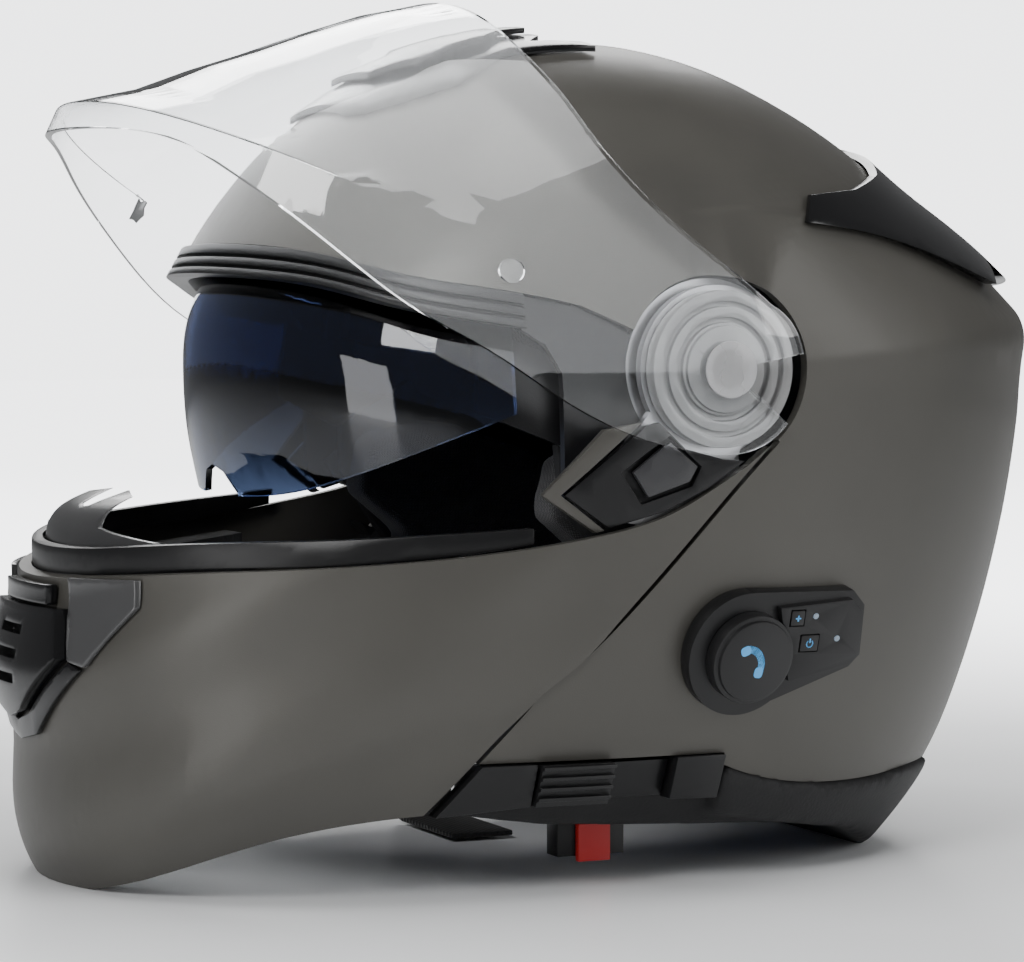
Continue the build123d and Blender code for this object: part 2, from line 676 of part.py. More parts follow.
mic_direction = (0.45, -1, 0)
MIC_RADIUS = 5.0
MIC_HALF = 9.0
mic_share = (-0.394, 0.203)


def microphone():
    """Small boom microphone inside the chin bar, on the left."""
    at = place(mic_share, -MIC_HALF * 4)
    capsule = Solid.make_cylinder(MIC_RADIUS, 2 * MIC_HALF, Plane(origin=at, z_dir=mic_direction))
    return whole(capsule - band(*CHIN_FAN, -OVERRUN, CURTAIN_INSET))


# Top vent and its slider, the rear spoiler
VENT_BASE_PROUD = 2.6
top_proud_shares = [(42, 0.003), (48, 0.013), (60, 0.017), (74, 0.016), (88, 0.013), (98, 0.010)]
top_vent_places_shares = [(-0.201, 0.000), (-0.201, 0.070), (-0.192, 0.096), (-0.163, 0.125), (-0.122,
    0.145), (-0.096, 0.137), (-0.067, 0.121), (-0.023, 0.124), (0.023, 0.128), (0.017, 0.110), (-0.029,
    0.096), (-0.006, 0.064), (0.003, 0.000)]
top_slider_places_shares = [(-0.169, 0.000), (-0.169, 0.047), (-0.134, 0.090), (-0.073, 0.090), (-0.047,
    0.064), (-0.017, 0.058), (-0.012, 0.000)]


def top_outside(angle):
    """How far the slider's crown stands off the shell."""
    return -LENGTH * smooth(top_proud_shares, angle)


def top_vent_base():
    """Black base of the crown vent."""
    return whole(band(*SHELL_FAN, -VENT_BASE_PROUD,
        -TRIM_GAP) & top_block(both_ways(top_vent_places_shares), 0, LENGTH))


def top_vent_slider():
    """Scoop that slides over the crown vent."""
    return whole(band(*SHELL_FAN, top_outside,
        -VENT_BASE_PROUD - TRIM_GAP) & top_block(both_ways(top_slider_places_shares), 0, LENGTH))


spoiler_proud_shares = [(118, 0.003), (130, 0.009), (150, 0.010), (168, 0.016), (176, 0.020)]
spoiler_low_shares = [(0.134, 0.590), (0.174, 0.586), (0.244, 0.575), (0.326, 0.552), (0.381, 0.536)]
spoiler_tail_shares = [(0.381, 0.536), (0.410, 0.564), (0.427, 0.544), (0.517, 0.529), (0.581, 0.625),
    (0.494, 0.741)]
spoiler_front_shares = [(0.494, 0.741), (0.320, 0.686), (0.308, 0.663), (0.267, 0.637), (0.209, 0.621),
    (0.148, 0.615), (0.134, 0.590)]


def spoiler_outside(angle):
    """How far the spoiler stands off the shell."""
    return -LENGTH * smooth(spoiler_proud_shares, angle)


def rear_spoiler():
    """Black exhaust spoiler across the back."""
    region = [spoiler_low_shares] + lines(spoiler_tail_shares) + lines(spoiler_front_shares)
    return whole(patch(region, *SHELL_FAN, spoiler_outside, -TRIM_GAP))


# Liner, pads and neck roll
LINER_FRONT = SHELL_WALL + LINER_GAP
LINER_BACK = LINER_FRONT + FOAM_WALL
POCKET_REACH, POCKET_BREADTH = 152.0, 105.4
POCKET_IN_REACH, POCKET_IN_BREADTH = 113.2, 98.0
HINGE_ROOM_RADIUS = 64.0
HINGE_ROOM_IN = 103.4
SUN_ROOM_RADIUS = 13.0
SUN_ROOM_IN = 96.0
SUN_ROOM_END = 100
SPEAKER_RADIUS = 20.0
SPEAKER_IN, SPEAKER_OUT = 91.4, 95.4
speaker_share = (0.076, 0.326)
liner_shares = [(-0.279, 0.584), (-0.244, 0.561), (-0.174, 0.541), (-0.084, 0.525), (-0.078, 0.349),
    (-0.029, 0.279), (-0.081, 0.227), (-0.128, 0.174), (-0.140, 0.122), (0.058, 0.122), (0.174, 0.102),
    (0.509, 0.102), (0.581, 0.872), (-0.279, 0.872)]


def eps_liner():
    """Foam liner with the sun visor's pocket and room for hinges and speakers."""
    foam = patch(ring(liner_shares), *SHELL_FAN, LINER_FRONT, LINER_BACK)
    sun = (SUN_X, SUN_Z)
    foam -= between(-45, SUN_ROOM_END, lambda angle: (POCKET_REACH, POCKET_BREADTH),
                    lambda angle: (POCKET_IN_REACH, POCKET_IN_BREADTH), SUN_EYE_RADIUS / 2, sun)
    speaker = (speaker_share[0] * LENGTH, speaker_share[1] * LENGTH)
    for side in (-1, 1):
        low, high = sorted((side * HINGE_ROOM_IN, side * WIDTH))
        foam -= disc(HINGE_ROOM_RADIUS, low, high)
        low, high = sorted((side * SUN_ROOM_IN, side * WIDTH))
        foam -= disc(SUN_ROOM_RADIUS, low, high, sun)
        low, high = sorted((side * FOAM_WALL, side * (SPEAKER_OUT + SEAT_GAP)))
        foam -= disc(SPEAKER_RADIUS + SEAT_GAP, low, high, speaker)
    return whole(foam)


def speakers():
    """Flat speakers in the foam at the ears."""
    centre = (speaker_share[0] * LENGTH, speaker_share[1] * LENGTH)
    left = disc(SPEAKER_RADIUS, -SPEAKER_OUT, -SPEAKER_IN, centre)
    return Compound([left, mirrored(left)])


crown_shares = [(-0.256, 0.552), (-0.087, 0.517), (0.058, 0.488), (0.186, 0.360), (0.262, 0.291), (0.509,
    0.276), (0.509, 0.872), (-0.256, 0.872)]
cheek_shares = [(-0.078, 0.331), (-0.023, 0.285), (-0.076, 0.233), (-0.116, 0.180), (-0.122, 0.125),
    (0.052, 0.125), (0.128, 0.145), (0.169, 0.250), (0.116, 0.366), (0.012, 0.398), (-0.064, 0.384)]


def crown_pad():
    """Comfort lining of the crown and the back of the head."""
    inner = LINER_BACK + LINER_GAP
    return whole(patch(ring(crown_shares), *SHELL_FAN, inner, inner + PAD_WALL))


def cheek_pad():
    """Left cheek pad."""
    inner = LINER_BACK + LINER_GAP
    return whole(patch(ring(cheek_shares), *SHELL_FAN, inner, inner + CHEEK_WALL, -1))


ROLL_PROUD = 1.4
ROLL_INSET = SHELL_WALL + LINER_GAP
ROLL_BACK = 17.0
roll_top_shares = [(-0.166, 0.115), (0.058, 0.115), (0.174, 0.099), (0.509, 0.099)]
roll_low_shares = [(-0.166, 0.073), (-0.087, 0.061), (0.058, 0.052), (0.174, 0.045), (0.233, 0.035),
    (0.285, 0.012), (0.308, 0.000), (0.509, 0.000)]
bead_top_shares = [(0.068, 0.109), (0.192, 0.083), (0.262, 0.083), (0.363, 0.083), (0.404, 0.072), (0.442,
    0.057), (0.509, 0.035)]
bead_low_shares = [(0.068, 0.064), (0.174, 0.045), (0.233, 0.035), (0.285, 0.012), (0.308, 0.000), (0.509,
    0.000)]


def neck_roll():
    """Roll around the neck opening, with a bead that shows below the shell."""
    inside = ring(roll_top_shares + roll_low_shares[::-1])
    bead = [bead_top_shares, [bead_top_shares[-1],
        bead_low_shares[-1]]] + lines(bead_low_shares[::-1]) + [[bead_low_shares[0], bead_top_shares[0]]]
    roll = patch(inside, *SHELL_FAN, ROLL_INSET, ROLL_BACK)
    return whole(roll + patch(bead, *SHELL_FAN, -ROLL_PROUD, ROLL_INSET + SEAT_GAP))


# Sun visor control on the lower left edge
TRIM_PROUD = 2.0
TRIM_BACK = 4.0
RAIL_INSET = 3.0
KNOB_PROUD = 3.0
KNOB_BACK = 0.6
RIB_PROUD = 1.2
RIB_HEIGHT = 1.2
RIB_COUNT = 4
cover_shares = [(-0.167, 0.120), (-0.116, 0.120), (-0.116, 0.081), (-0.201, 0.074)]
rail_shares = [(-0.115, 0.117), (0.016, 0.117), (0.016, 0.083), (-0.115, 0.083)]
cap_shares = [(0.017, 0.120), (0.066, 0.120), (0.066, 0.079), (0.017, 0.081)]
knob_shares = [(-0.113, 0.119), (-0.045, 0.119), (-0.045, 0.081), (-0.113, 0.081)]
trim_right_shares = [(-0.167, 0.120), (0.066, 0.120), (0.066, 0.079), (-0.116, 0.081), (-0.201, 0.074)]


def edge_patch(shares, outer, inner):
    """A piece of the lower left edge."""
    return whole(patch(ring(shares), *SHELL_FAN, outer, inner, -1))


def slider_cover():
    """Front cover of the sun visor control."""
    return edge_patch(cover_shares, -TRIM_PROUD, TRIM_BACK)


def slider_rail():
    """Rail that the sun visor's knob runs on."""
    return edge_patch(rail_shares, RAIL_INSET, TRIM_BACK)


def slider_end_cap():
    """Rear cap of the sun visor control."""
    return edge_patch(cap_shares, -TRIM_PROUD, TRIM_BACK)


def sun_visor_knob():
    """Ribbed knob that raises and lowers the sun visor."""
    knob = edge_patch(knob_shares, -KNOB_PROUD, KNOB_BACK)
    low, high = knob_shares[2][1] * LENGTH, knob_shares[0][1] * LENGTH
    pitch = (high - low) / RIB_COUNT
    for i in range(RIB_COUNT):
        z = low + (i + 0.5) * pitch
        rib = [(share[0], level / LENGTH) for share, level in zip(knob_shares, (z + RIB_HEIGHT,
            z + RIB_HEIGHT, z, z))]
        knob += edge_patch(rib, -KNOB_PROUD - RIB_PROUD, -KNOB_PROUD / 2)
    return whole(knob)


def edge_trim_right():
    """Plain trim at the same place on the right."""
    return mirrored(edge_patch(trim_right_shares, -TRIM_PROUD, TRIM_BACK))


# Intercom, on a plane that lies on the shell below the left ear
INTERCOM_TILT = 15.0
INTERCOM_TURN = 5.0
BASE_DISC_RADIUS = 19.5
BASE_FRONT = 4.0
BODY_FRONT = 6.4
KNOB_RADIUS = 14.0
KNOB_FRONT = 10.6
KNOB_LIP = 1.4
BUTTON_RISE = 0.9
BUTTON_ROOM = 0.25
BUTTON_DEEP = 1.7
LIGHT_RADIUS = 1.0
intercom_share = (0.064, 0.215)
base_tail_shares = [(0.000, 0.057), (0.105, 0.055), (0.119, 0.041), (0.122, -0.006), (0.112, -0.017),
    (0.035, -0.045)]
body_tail_shares = [(0.026, 0.044), (0.101, 0.049), (0.113, 0.038), (0.116, -0.003), (0.108, -0.012),
    (0.045, -0.025)]
power_share = (0.061, 0.010)
volume_share = (0.045, 0.034)
light_shares = [(0.064, 0.035), (0.090, 0.013)]


def half_breadth(x, z):
    """Half breadth of the shell at one place in the side view."""
    angle = math.degrees(math.atan2(z - PIVOT_Z, PIVOT_X - x))
    reach, breadth = shell_form(angle)
    share = math.hypot(x - PIVOT_X, z - PIVOT_Z) / reach
    return breadth * (1 - share ** SQUARENESS_ALONG) ** (1 / SQUARENESS_ACROSS)


def intercom_plane(out=0.0):
    """The intercom's own plane, facing out of the shell."""
    x, z = intercom_share[0] * LENGTH, intercom_share[1] * LENGTH
    tilt, turn = math.radians(INTERCOM_TILT), math.radians(INTERCOM_TURN)
    normal = Vector(math.sin(turn) * math.cos(tilt), -math.cos(turn) * math.cos(tilt), -math.sin(tilt))
    along = Vector(math.cos(turn), math.sin(turn), 0)
    return Plane(origin=Vector(x, -half_breadth(x, z), z) + normal * out, x_dir=along, z_dir=normal)


def on_plane(shares, out, depth):
    """A straight-sided block on the intercom's plane."""
    plane = intercom_plane(out)
    corners = [plane.from_local_coords(Vector(a * LENGTH, b * LENGTH, 0)) for a, b in shares]
    return Solid.extrude(Face(Wire.make_polygon(corners)), plane.z_dir * depth)


def round_on_plane(radius, out, depth, share=(0, 0)):
    """A round block on the intercom's plane."""
    plane = intercom_plane(out)
    centre = plane.from_local_coords(Vector(share[0] * LENGTH, share[1] * LENGTH, 0))
    return Solid.make_cylinder(radius, depth, Plane(origin=centre, x_dir=plane.x_dir, z_dir=plane.z_dir))


def rectangle_shares(share, half_along, half_across):
    """Corners of a small rectangle about a place."""
    a, b = half_along / LENGTH, half_across / LENGTH
    return [(share[0] - a, share[1] - b), (share[0] + a, share[1] - b), (share[0] + a, share[1] + b),
        (share[0] - a, share[1] + b)]


def intercom_base():
    """Clamp and base of the intercom, shaped to the shell."""
    seat = round_on_plane(BASE_DISC_RADIUS, -OVERRUN / 3, OVERRUN / 3 + BASE_FRONT)
    seat += on_plane(base_tail_shares, -OVERRUN / 3, OVERRUN / 3 + BASE_FRONT)
    return whole(seat - band(*SHELL_FAN, -SEAT_GAP, OVERRUN))


POWER_HALF_ALONG, POWER_HALF_ACROSS = 3.2, 2.6
VOLUME_HALF_ALONG, VOLUME_HALF_ACROSS = 2.4, 2.4


def intercom_body():
    """Raised cover of the intercom's electronics, with button pockets."""
    out = BASE_FRONT + RUN_GAP
    body = on_plane(body_tail_shares, out, BODY_FRONT - out)
    body -= round_on_plane(KNOB_RADIUS + 2 * SEAT_GAP, 0, 2 * KNOB_FRONT)
    for share, a, b in ((power_share, POWER_HALF_ALONG, POWER_HALF_ACROSS), (volume_share,
        VOLUME_HALF_ALONG, VOLUME_HALF_ACROSS)):
        corners = rectangle_shares(share, a + BUTTON_ROOM, b + BUTTON_ROOM)
        body -= on_plane(corners, BODY_FRONT - BUTTON_DEEP, KNOB_FRONT)
    for share in light_shares:
        body -= round_on_plane(LIGHT_RADIUS, BODY_FRONT - BUTTON_RISE, KNOB_FRONT, share)
    return whole(body)


def intercom_knob():
    """Round dial for answering and volume."""
    out = BASE_FRONT + SEAT_GAP
    knob = round_on_plane(KNOB_RADIUS, out, KNOB_FRONT - KNOB_LIP - out)
    return whole(knob + round_on_plane(KNOB_RADIUS - KNOB_LIP, KNOB_FRONT - KNOB_LIP, KNOB_LIP))


def button(share, a, b):
    """A small button in its pocket."""
    out = BODY_FRONT - BUTTON_DEEP + BUTTON_RISE
    return on_plane(rectangle_shares(share, a, b), out, BODY_FRONT + BUTTON_RISE / 3 - out)


def power_button():
    """Power button of the intercom."""
    return button(power_share, POWER_HALF_ALONG, POWER_HALF_ACROSS)


def volume_button():
    """Plus and minus button of the intercom."""
    return button(volume_share, VOLUME_HALF_ALONG, VOLUME_HALF_ACROSS)


def intercom_lights():
    """Two small indicator lights."""
    return Compound([round_on_plane(LIGHT_RADIUS - RUN_GAP, BODY_FRONT - BUTTON_RISE + RUN_GAP,
        BUTTON_RISE, share) for share in light_shares])


# Chin strap and its ratchet buckle
STRAP_HALF = 11.0
STRAP_WALL = 1.8
STRAP_Y = 68.0
STRAP_TOP = 39.7
STRAP_BEND = 10.0
STRAP_LIE = 1.0
STRAP_LAID = 44.0
strap_x_share = -0.017
ANCHOR_WALL = 1.2
ANCHOR_REACH = 22.0
BUCKLE_LOW, BUCKLE_HIGH = 7.0, 24.0
BUCKLE_WALL = 8.0
LEVER_WALL = 2.6
LEVER_LOW = 5.5
LEVER_HIGH = 17.0
LEVER_PIN_RADIUS = 1.5


def strap_left():
    """Short left half of the chin strap, down to the buckle."""
    x = strap_x_share * LENGTH
    return block(x - STRAP_HALF, -STRAP_Y, BUCKLE_HIGH + SEAT_GAP, 2 * STRAP_HALF, STRAP_WALL,
        STRAP_TOP - BUCKLE_HIGH - SEAT_GAP)


def strap_right():
    """Long right half of the chin strap, down to the floor and inwards."""
    x = strap_x_share * LENGTH - STRAP_HALF
    inner = STRAP_BEND - STRAP_WALL
    bend_y, bend_z = STRAP_Y - STRAP_BEND, STRAP_LIE + STRAP_BEND
    hang = block(x, STRAP_Y - STRAP_WALL, bend_z, 2 * STRAP_HALF, STRAP_WALL, STRAP_TOP - bend_z)
    plane = Plane(origin=(x, bend_y, bend_z), z_dir=(1, 0, 0))
    turn = Solid.make_cylinder(STRAP_BEND, 2 * STRAP_HALF, plane) - Solid.make_cylinder(inner,
        2 * STRAP_HALF, plane)
    turn = turn & block(x, bend_y, STRAP_LIE, 2 * STRAP_HALF, STRAP_BEND, STRAP_BEND)
    laid = block(x, bend_y - STRAP_LAID, STRAP_LIE, 2 * STRAP_HALF, STRAP_LAID, STRAP_WALL)
    return whole(hang + turn + laid)


def strap_anchors():
    """Metal plates that hold the straps, left and right."""
    x = strap_x_share * LENGTH
    low = STRAP_TOP + SEAT_GAP
    plate = block(x - STRAP_HALF, STRAP_WALL - STRAP_Y - ANCHOR_REACH, low, 2 * STRAP_HALF, ANCHOR_REACH,
        ANCHOR_WALL)
    return Compound([plate, mirrored(plate)])


def buckle():
    """Ratchet buckle at the end of the left strap."""
    x = strap_x_share * LENGTH
    low = -STRAP_Y - (BUCKLE_WALL - STRAP_WALL) / 3
    body = block(x - STRAP_HALF - BUTTON_PLAY, low, BUCKLE_LOW, 2 * (STRAP_HALF + BUTTON_PLAY),
        BUCKLE_WALL, BUCKLE_HIGH - BUCKLE_LOW)
    slot = block(x - STRAP_HALF, low + BUCKLE_WALL / 3, 0, 2 * STRAP_HALF, BUCKLE_WALL / 4,
        BUCKLE_HIGH - STRAP_WALL)
    return whole(body - slot)


def buckle_lever():
    """Red lever on the buckle's outer face."""
    x = strap_x_share * LENGTH
    low = -STRAP_Y - (BUCKLE_WALL - STRAP_WALL) / 3 - SEAT_GAP - LEVER_WALL
    plate = block(x - STRAP_HALF / 2, low, LEVER_LOW, STRAP_HALF, LEVER_WALL, LEVER_HIGH - LEVER_LOW)
    pin = Solid.make_cylinder(LEVER_PIN_RADIUS, STRAP_HALF, Plane(origin=(x - STRAP_HALF / 2,
        low + LEVER_WALL / 2, LEVER_HIGH), z_dir=(1, 0, 0)))
    return whole(plate + pin)


pieces = {
    "outer_shell": outer_shell, "eps_liner": eps_liner, "crown_pad": crown_pad, "neck_roll": neck_roll,
    "brow_gasket": brow_gasket, "hinge_plates": hinge_plates, "hinge_pins": hinge_pins,
    "top_vent_base": top_vent_base, "top_vent_slider": top_vent_slider, "rear_spoiler": rear_spoiler,
    "chin_bar_shell": chin_bar_shell, "chin_bar_liner": chin_bar_liner, "chin_gasket": chin_gasket,
    "chin_curtain": chin_curtain, "breath_guard": breath_guard, "microphone": microphone,
    "chin_vent_frame": chin_vent_frame, "chin_vent_shutter": chin_vent_shutter, "vent_lip": vent_lip,
    "release_housing": release_housing, "chin_release_button": chin_release_button,
    "clear_visor": clear_visor, "visor_screws": visor_screws, "pinlock_pins": pinlock_pins,
    "sun_visor": sun_visor, "sun_visor_arms": sun_visor_arms, "sun_visor_pins": sun_visor_pins,
    "slider_cover": slider_cover, "slider_rail": slider_rail, "slider_end_cap": slider_end_cap,
    "sun_visor_knob": sun_visor_knob, "edge_trim_right": edge_trim_right, "speakers": speakers,
    "intercom_base": intercom_base, "intercom_body": intercom_body, "intercom_knob": intercom_knob,
    "power_button": power_button, "volume_button": volume_button, "intercom_lights": intercom_lights,
    "strap_left": strap_left, "strap_right": strap_right, "strap_anchors": strap_anchors,
    "buckle": buckle, "buckle_lever": buckle_lever}
paired = {"cheek_pad": cheek_pad, "side_frame": side_frame, "chin_arm": chin_arm,
    "visor_base": visor_base,
          "trim_strip": trim_strip, "side_plate": side_plate, "visor_lever": visor_lever, "vent_cheek": vent_cheek}

for name, make in pieces.items():
    keep(name, make())
for name, make in paired.items():
    left = make()
    keep(name + "_left", left)
    keep(name + "_right", mirrored(left))
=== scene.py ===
# %% [markdown]
# # A modular motorcycle helmet
# The helmet stands on its chin and the back of its neck roll, with the clear visor raised and the
# dark sun visor lowered. Its rigid pieces come from the construction model, which is the fixed frame.
# This script gives them their skins, finishes, soft goods, lights and camera.

# %% Load the frame
import json
import math

import bpy
import numpy as np
from mathutils import Matrix, Vector


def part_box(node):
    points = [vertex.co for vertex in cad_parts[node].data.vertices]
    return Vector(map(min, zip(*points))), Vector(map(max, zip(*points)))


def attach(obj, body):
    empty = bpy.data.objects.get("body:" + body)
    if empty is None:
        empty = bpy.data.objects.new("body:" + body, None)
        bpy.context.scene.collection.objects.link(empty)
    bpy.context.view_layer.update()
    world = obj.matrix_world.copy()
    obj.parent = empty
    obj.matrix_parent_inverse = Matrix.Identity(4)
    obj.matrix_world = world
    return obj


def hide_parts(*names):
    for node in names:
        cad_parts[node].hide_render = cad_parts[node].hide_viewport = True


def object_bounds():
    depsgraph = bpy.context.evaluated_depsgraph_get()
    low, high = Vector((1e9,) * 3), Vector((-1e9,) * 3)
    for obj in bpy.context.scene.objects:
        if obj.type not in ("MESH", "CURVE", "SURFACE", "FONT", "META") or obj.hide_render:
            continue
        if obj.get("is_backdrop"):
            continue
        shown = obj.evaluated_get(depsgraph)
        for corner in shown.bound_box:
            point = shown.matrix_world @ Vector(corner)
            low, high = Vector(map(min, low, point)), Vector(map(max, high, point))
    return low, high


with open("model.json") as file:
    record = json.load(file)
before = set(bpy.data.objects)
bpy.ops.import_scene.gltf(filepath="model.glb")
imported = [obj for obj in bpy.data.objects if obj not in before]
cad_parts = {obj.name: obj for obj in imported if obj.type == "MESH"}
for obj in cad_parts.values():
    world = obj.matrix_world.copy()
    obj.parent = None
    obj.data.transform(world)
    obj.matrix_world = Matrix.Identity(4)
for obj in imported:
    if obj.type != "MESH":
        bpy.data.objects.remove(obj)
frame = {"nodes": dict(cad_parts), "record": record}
bpy.ops.object.select_all(action="DESELECT")
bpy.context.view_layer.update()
MM = 0.001
bodies = frame["record"]["behaviour"]["bodies"]
body_of_node = {node: body for body, nodes in bodies.items() for node in nodes}
slot_of_node = {part["node"]: part["material_slot"] for part in frame["record"]["subparts"]}

# %% [markdown]
# ## Camera
# The photograph was taken from the helmet's front left, a little above its middle, with a long lens
# that hardly tapers its shapes. A camera can be pushed about by hand until it looks right. This one
# goes round an aim point by two angles and a distance, because those can be measured and corrected
# one at a time against the photograph's outline.

# %% Camera
AZIMUTH = math.radians(-24)
ELEVATION = math.radians(3)
DISTANCE = 1.2
FOCAL_LENGTH = 128.8
SENSOR_WIDTH = 36
NEAREST_SEEN = 0.05
AIM_HEIGHT = 0.120
AIM_SHIFT = 0.0013
level = math.cos(ELEVATION)
away = Vector((math.sin(AZIMUTH) * level, -math.cos(AZIMUTH) * level, math.sin(ELEVATION)))
sideways = Vector((math.cos(AZIMUTH), math.sin(AZIMUTH), 0))
aim = Vector((0, 0, AIM_HEIGHT)) - sideways * AIM_SHIFT
camera_data = bpy.data.cameras.new("camera")
camera_data.lens = FOCAL_LENGTH
camera_data.sensor_width = SENSOR_WIDTH
camera_data.clip_start = NEAREST_SEEN
camera = bpy.data.objects.new("camera", camera_data)
bpy.context.scene.collection.objects.link(camera)
camera.location = aim + away * DISTANCE
camera.rotation_euler = (-away).to_track_quat("-Z", "Y").to_euler()
bpy.context.scene.camera = camera
print("camera at", [round(c, 3) for c in camera.location])

# %% [markdown]
# ## Lamps
# A product like this is lit by large soft boxes, so that its matte paint shows broad, even lights.
# Small lamps would be simpler, but they leave hot spots. The boxes are rectangles, because their
# shapes are what the glossy visors mirror. The one overhead is kept out of all mirror images, or it
# would lie across the raised visor like a white sheet.


# %% Lamps
def softbox(name, place, width, height, power):
    """A rectangular lamp that faces the aim point."""
    data = bpy.data.lights.new(name, "AREA")
    data.shape = "RECTANGLE"
    data.size, data.size_y = width, height
    data.energy = power
    lamp = bpy.data.objects.new(name, data)
    bpy.context.scene.collection.objects.link(lamp)
    lamp.location = place
    lamp.rotation_euler = (Vector(place) - aim).to_track_quat("Z", "Y").to_euler()
    return lamp


softbox("key_box", place=(-1.5, -1.3, 1.5), width=0.8, height=0.8, power=30)
overhead = softbox("top_box", place=(0.2, -0.2, 1.9), width=1.4, height=1.4, power=34)
overhead.visible_glossy = False
softbox("side_box", place=(1.5, -1.5, 0.9), width=0.9, height=1.2, power=16)
softbox("back_box", place=(0.6, 1.8, 1.2), width=1.2, height=0.8, power=20)
softbox("low_box", place=(-1.4, -0.6, 0.25), width=0.5, height=0.5, power=4)

# %% [markdown]
# ## Floor and surroundings
# The photograph's background is white. A white world would do that, but it would also light the
# helmet from all sides and wash out its dark paint. So the world has two strengths: a high one for
# what the camera sees, also through the clear visor, and a low one for what falls on the helmet.


# %% A node of a material or world, with its settings
def add_node(tree, kind, values=None, **settings):
    """A new node, with some of its settings and of its sockets' values."""
    node = tree.nodes.new("ShaderNode" + kind)
    for label, value in settings.items():
        setattr(node, label, value)
    for label, value in (values or {}).items():
        node.inputs[label].default_value = value
    return node


# %% Floor and world
FLOOR_HALF = 6.0
FLOOR_DROP = 0.0002
BACKDROP = (0.97, 0.98, 1.0, 1)
SEEN, FELT = 3.6, 0.16
bpy.ops.mesh.primitive_plane_add(size=2 * FLOOR_HALF, location=(0, 0, -FLOOR_DROP))
floor = bpy.context.active_object
floor.name = "floor"
floor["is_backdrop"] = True
world = bpy.data.worlds.new("studio")
world.use_nodes = True
tree = world.node_tree
path = add_node(tree, "LightPath")
seen_ray = add_node(tree, "Math", operation="MAXIMUM")
strength = add_node(tree, "MapRange", {"To Min": FELT, "To Max": SEEN})
background = tree.nodes["Background"]
background.inputs["Color"].default_value = BACKDROP
tree.links.new(path.outputs["Is Camera Ray"], seen_ray.inputs[0])
tree.links.new(path.outputs["Is Transmission Ray"], seen_ray.inputs[1])
tree.links.new(seen_ray.outputs[0], strength.inputs["Value"])
tree.links.new(strength.outputs["Result"], background.inputs["Strength"])
bpy.context.scene.world = world
print("floor", floor.name, "world", world.name)

# %% [markdown]
# ## Shared effects
# Moulded plastic, paint, rubber and cloth all have fine relief. Each effect could be wired into each
# material again. It is a node group with its own inputs instead, so that a finish only says how
# coarse and how strong it is. The groups put out values and masks, and every shader stays in its own
# material.


# %% Helpers for node groups
def new_group(name, inputs, outputs):
    """A node group with float inputs and outputs, and its two ends."""
    tree = bpy.data.node_groups.new(name, "ShaderNodeTree")
    for label, default in inputs:
        socket = tree.interface.new_socket(label, in_out="INPUT", socket_type="NodeSocketFloat")
        socket.default_value = default
    for label in outputs:
        tree.interface.new_socket(label, in_out="OUTPUT", socket_type="NodeSocketFloat")
    return tree, tree.nodes.new("NodeGroupInput"), tree.nodes.new("NodeGroupOutput")


def math_node(tree, operation, first, second):
    """The output of one Math node, fed by sockets or plain numbers."""
    node = add_node(tree, "Math", operation=operation)
    for socket, source in zip(node.inputs, (first, second)):
        if source is None:
            continue
        if isinstance(source, (int, float)):
            socket.default_value = source
        else:
            tree.links.new(source, socket)
    return node.outputs[0]


# %% [markdown]
# Grain is the fine relief of moulded plastic, paint and rubber, and the slow clouds in their shade
# that come from handling. Two noise textures give both, because neither has a pattern that repeats.

# %% Grain
grain, grain_in, grain_out = new_group("grain", [("Scale", 900.0), ("Cloud Scale", 12.0)],
                                       ["Height", "Cloud"])
spot = add_node(grain, "TexCoord")
fine = add_node(grain, "TexNoise", {"Detail": 3})
cloud = add_node(grain, "TexNoise", {"Detail": 4})
for texture, label in ((fine, "Scale"), (cloud, "Cloud Scale")):
    grain.links.new(spot.outputs["Object"], texture.inputs["Vector"])
    grain.links.new(grain_in.outputs[label], texture.inputs["Scale"])
grain.links.new(fine.outputs["Fac"], grain_out.inputs["Height"])
grain.links.new(cloud.outputs["Fac"], grain_out.inputs["Cloud"])
print("group", grain.name)

# %% [markdown]
# Knit stands for the rows of small loops in the lining and the weave of the straps. A cloth could be
# modelled thread by thread, but at this size only its relief shows. Waves that cross along the
# height and the two diagonals leave no face of a piece without a pattern.

# %% Knit
FULL_TURN = 2 * math.pi
DIAGONAL_SHARE = 0.5
RELIEF_SHARE = 0.33
MIDDLE_LEVEL = 0.5
knit, knit_in, knit_out = new_group("knit", [("Threads", 700.0)], ["Height", "Mask"])
spot = add_node(knit, "TexCoord")
axes = add_node(knit, "SeparateXYZ")
knit.links.new(spot.outputs["Object"], axes.inputs[0])
along, back, up = axes.outputs["X"], axes.outputs["Y"], axes.outputs["Z"]
waves = []
for source in (math_node(knit, "ADD", along, back), up, math_node(knit, "SUBTRACT", along, back)):
    threads = math_node(knit, "MULTIPLY", source, knit_in.outputs["Threads"])
    waves.append(math_node(knit, "SINE", math_node(knit, "MULTIPLY", threads, FULL_TURN), None))
crossing = math_node(knit, "MULTIPLY", waves[0], waves[1])
diagonal = math_node(knit, "MULTIPLY", waves[2], DIAGONAL_SHARE)
relief_height = math_node(knit, "MULTIPLY", math_node(knit, "ADD", crossing, diagonal), RELIEF_SHARE)
height = math_node(knit, "ADD", relief_height, MIDDLE_LEVEL)
knit.links.new(height, knit_out.inputs["Height"])
knit.links.new(math_node(knit, "GREATER_THAN", height, MIDDLE_LEVEL), knit_out.inputs["Mask"])
print("group", knit.name)

# %% [markdown]
# Dust is a pale film that settles on faces that look up. It could be painted on by hand. Here the
# upward part of the face's normal is the mask, broken up by a noise, so that it fits any piece.

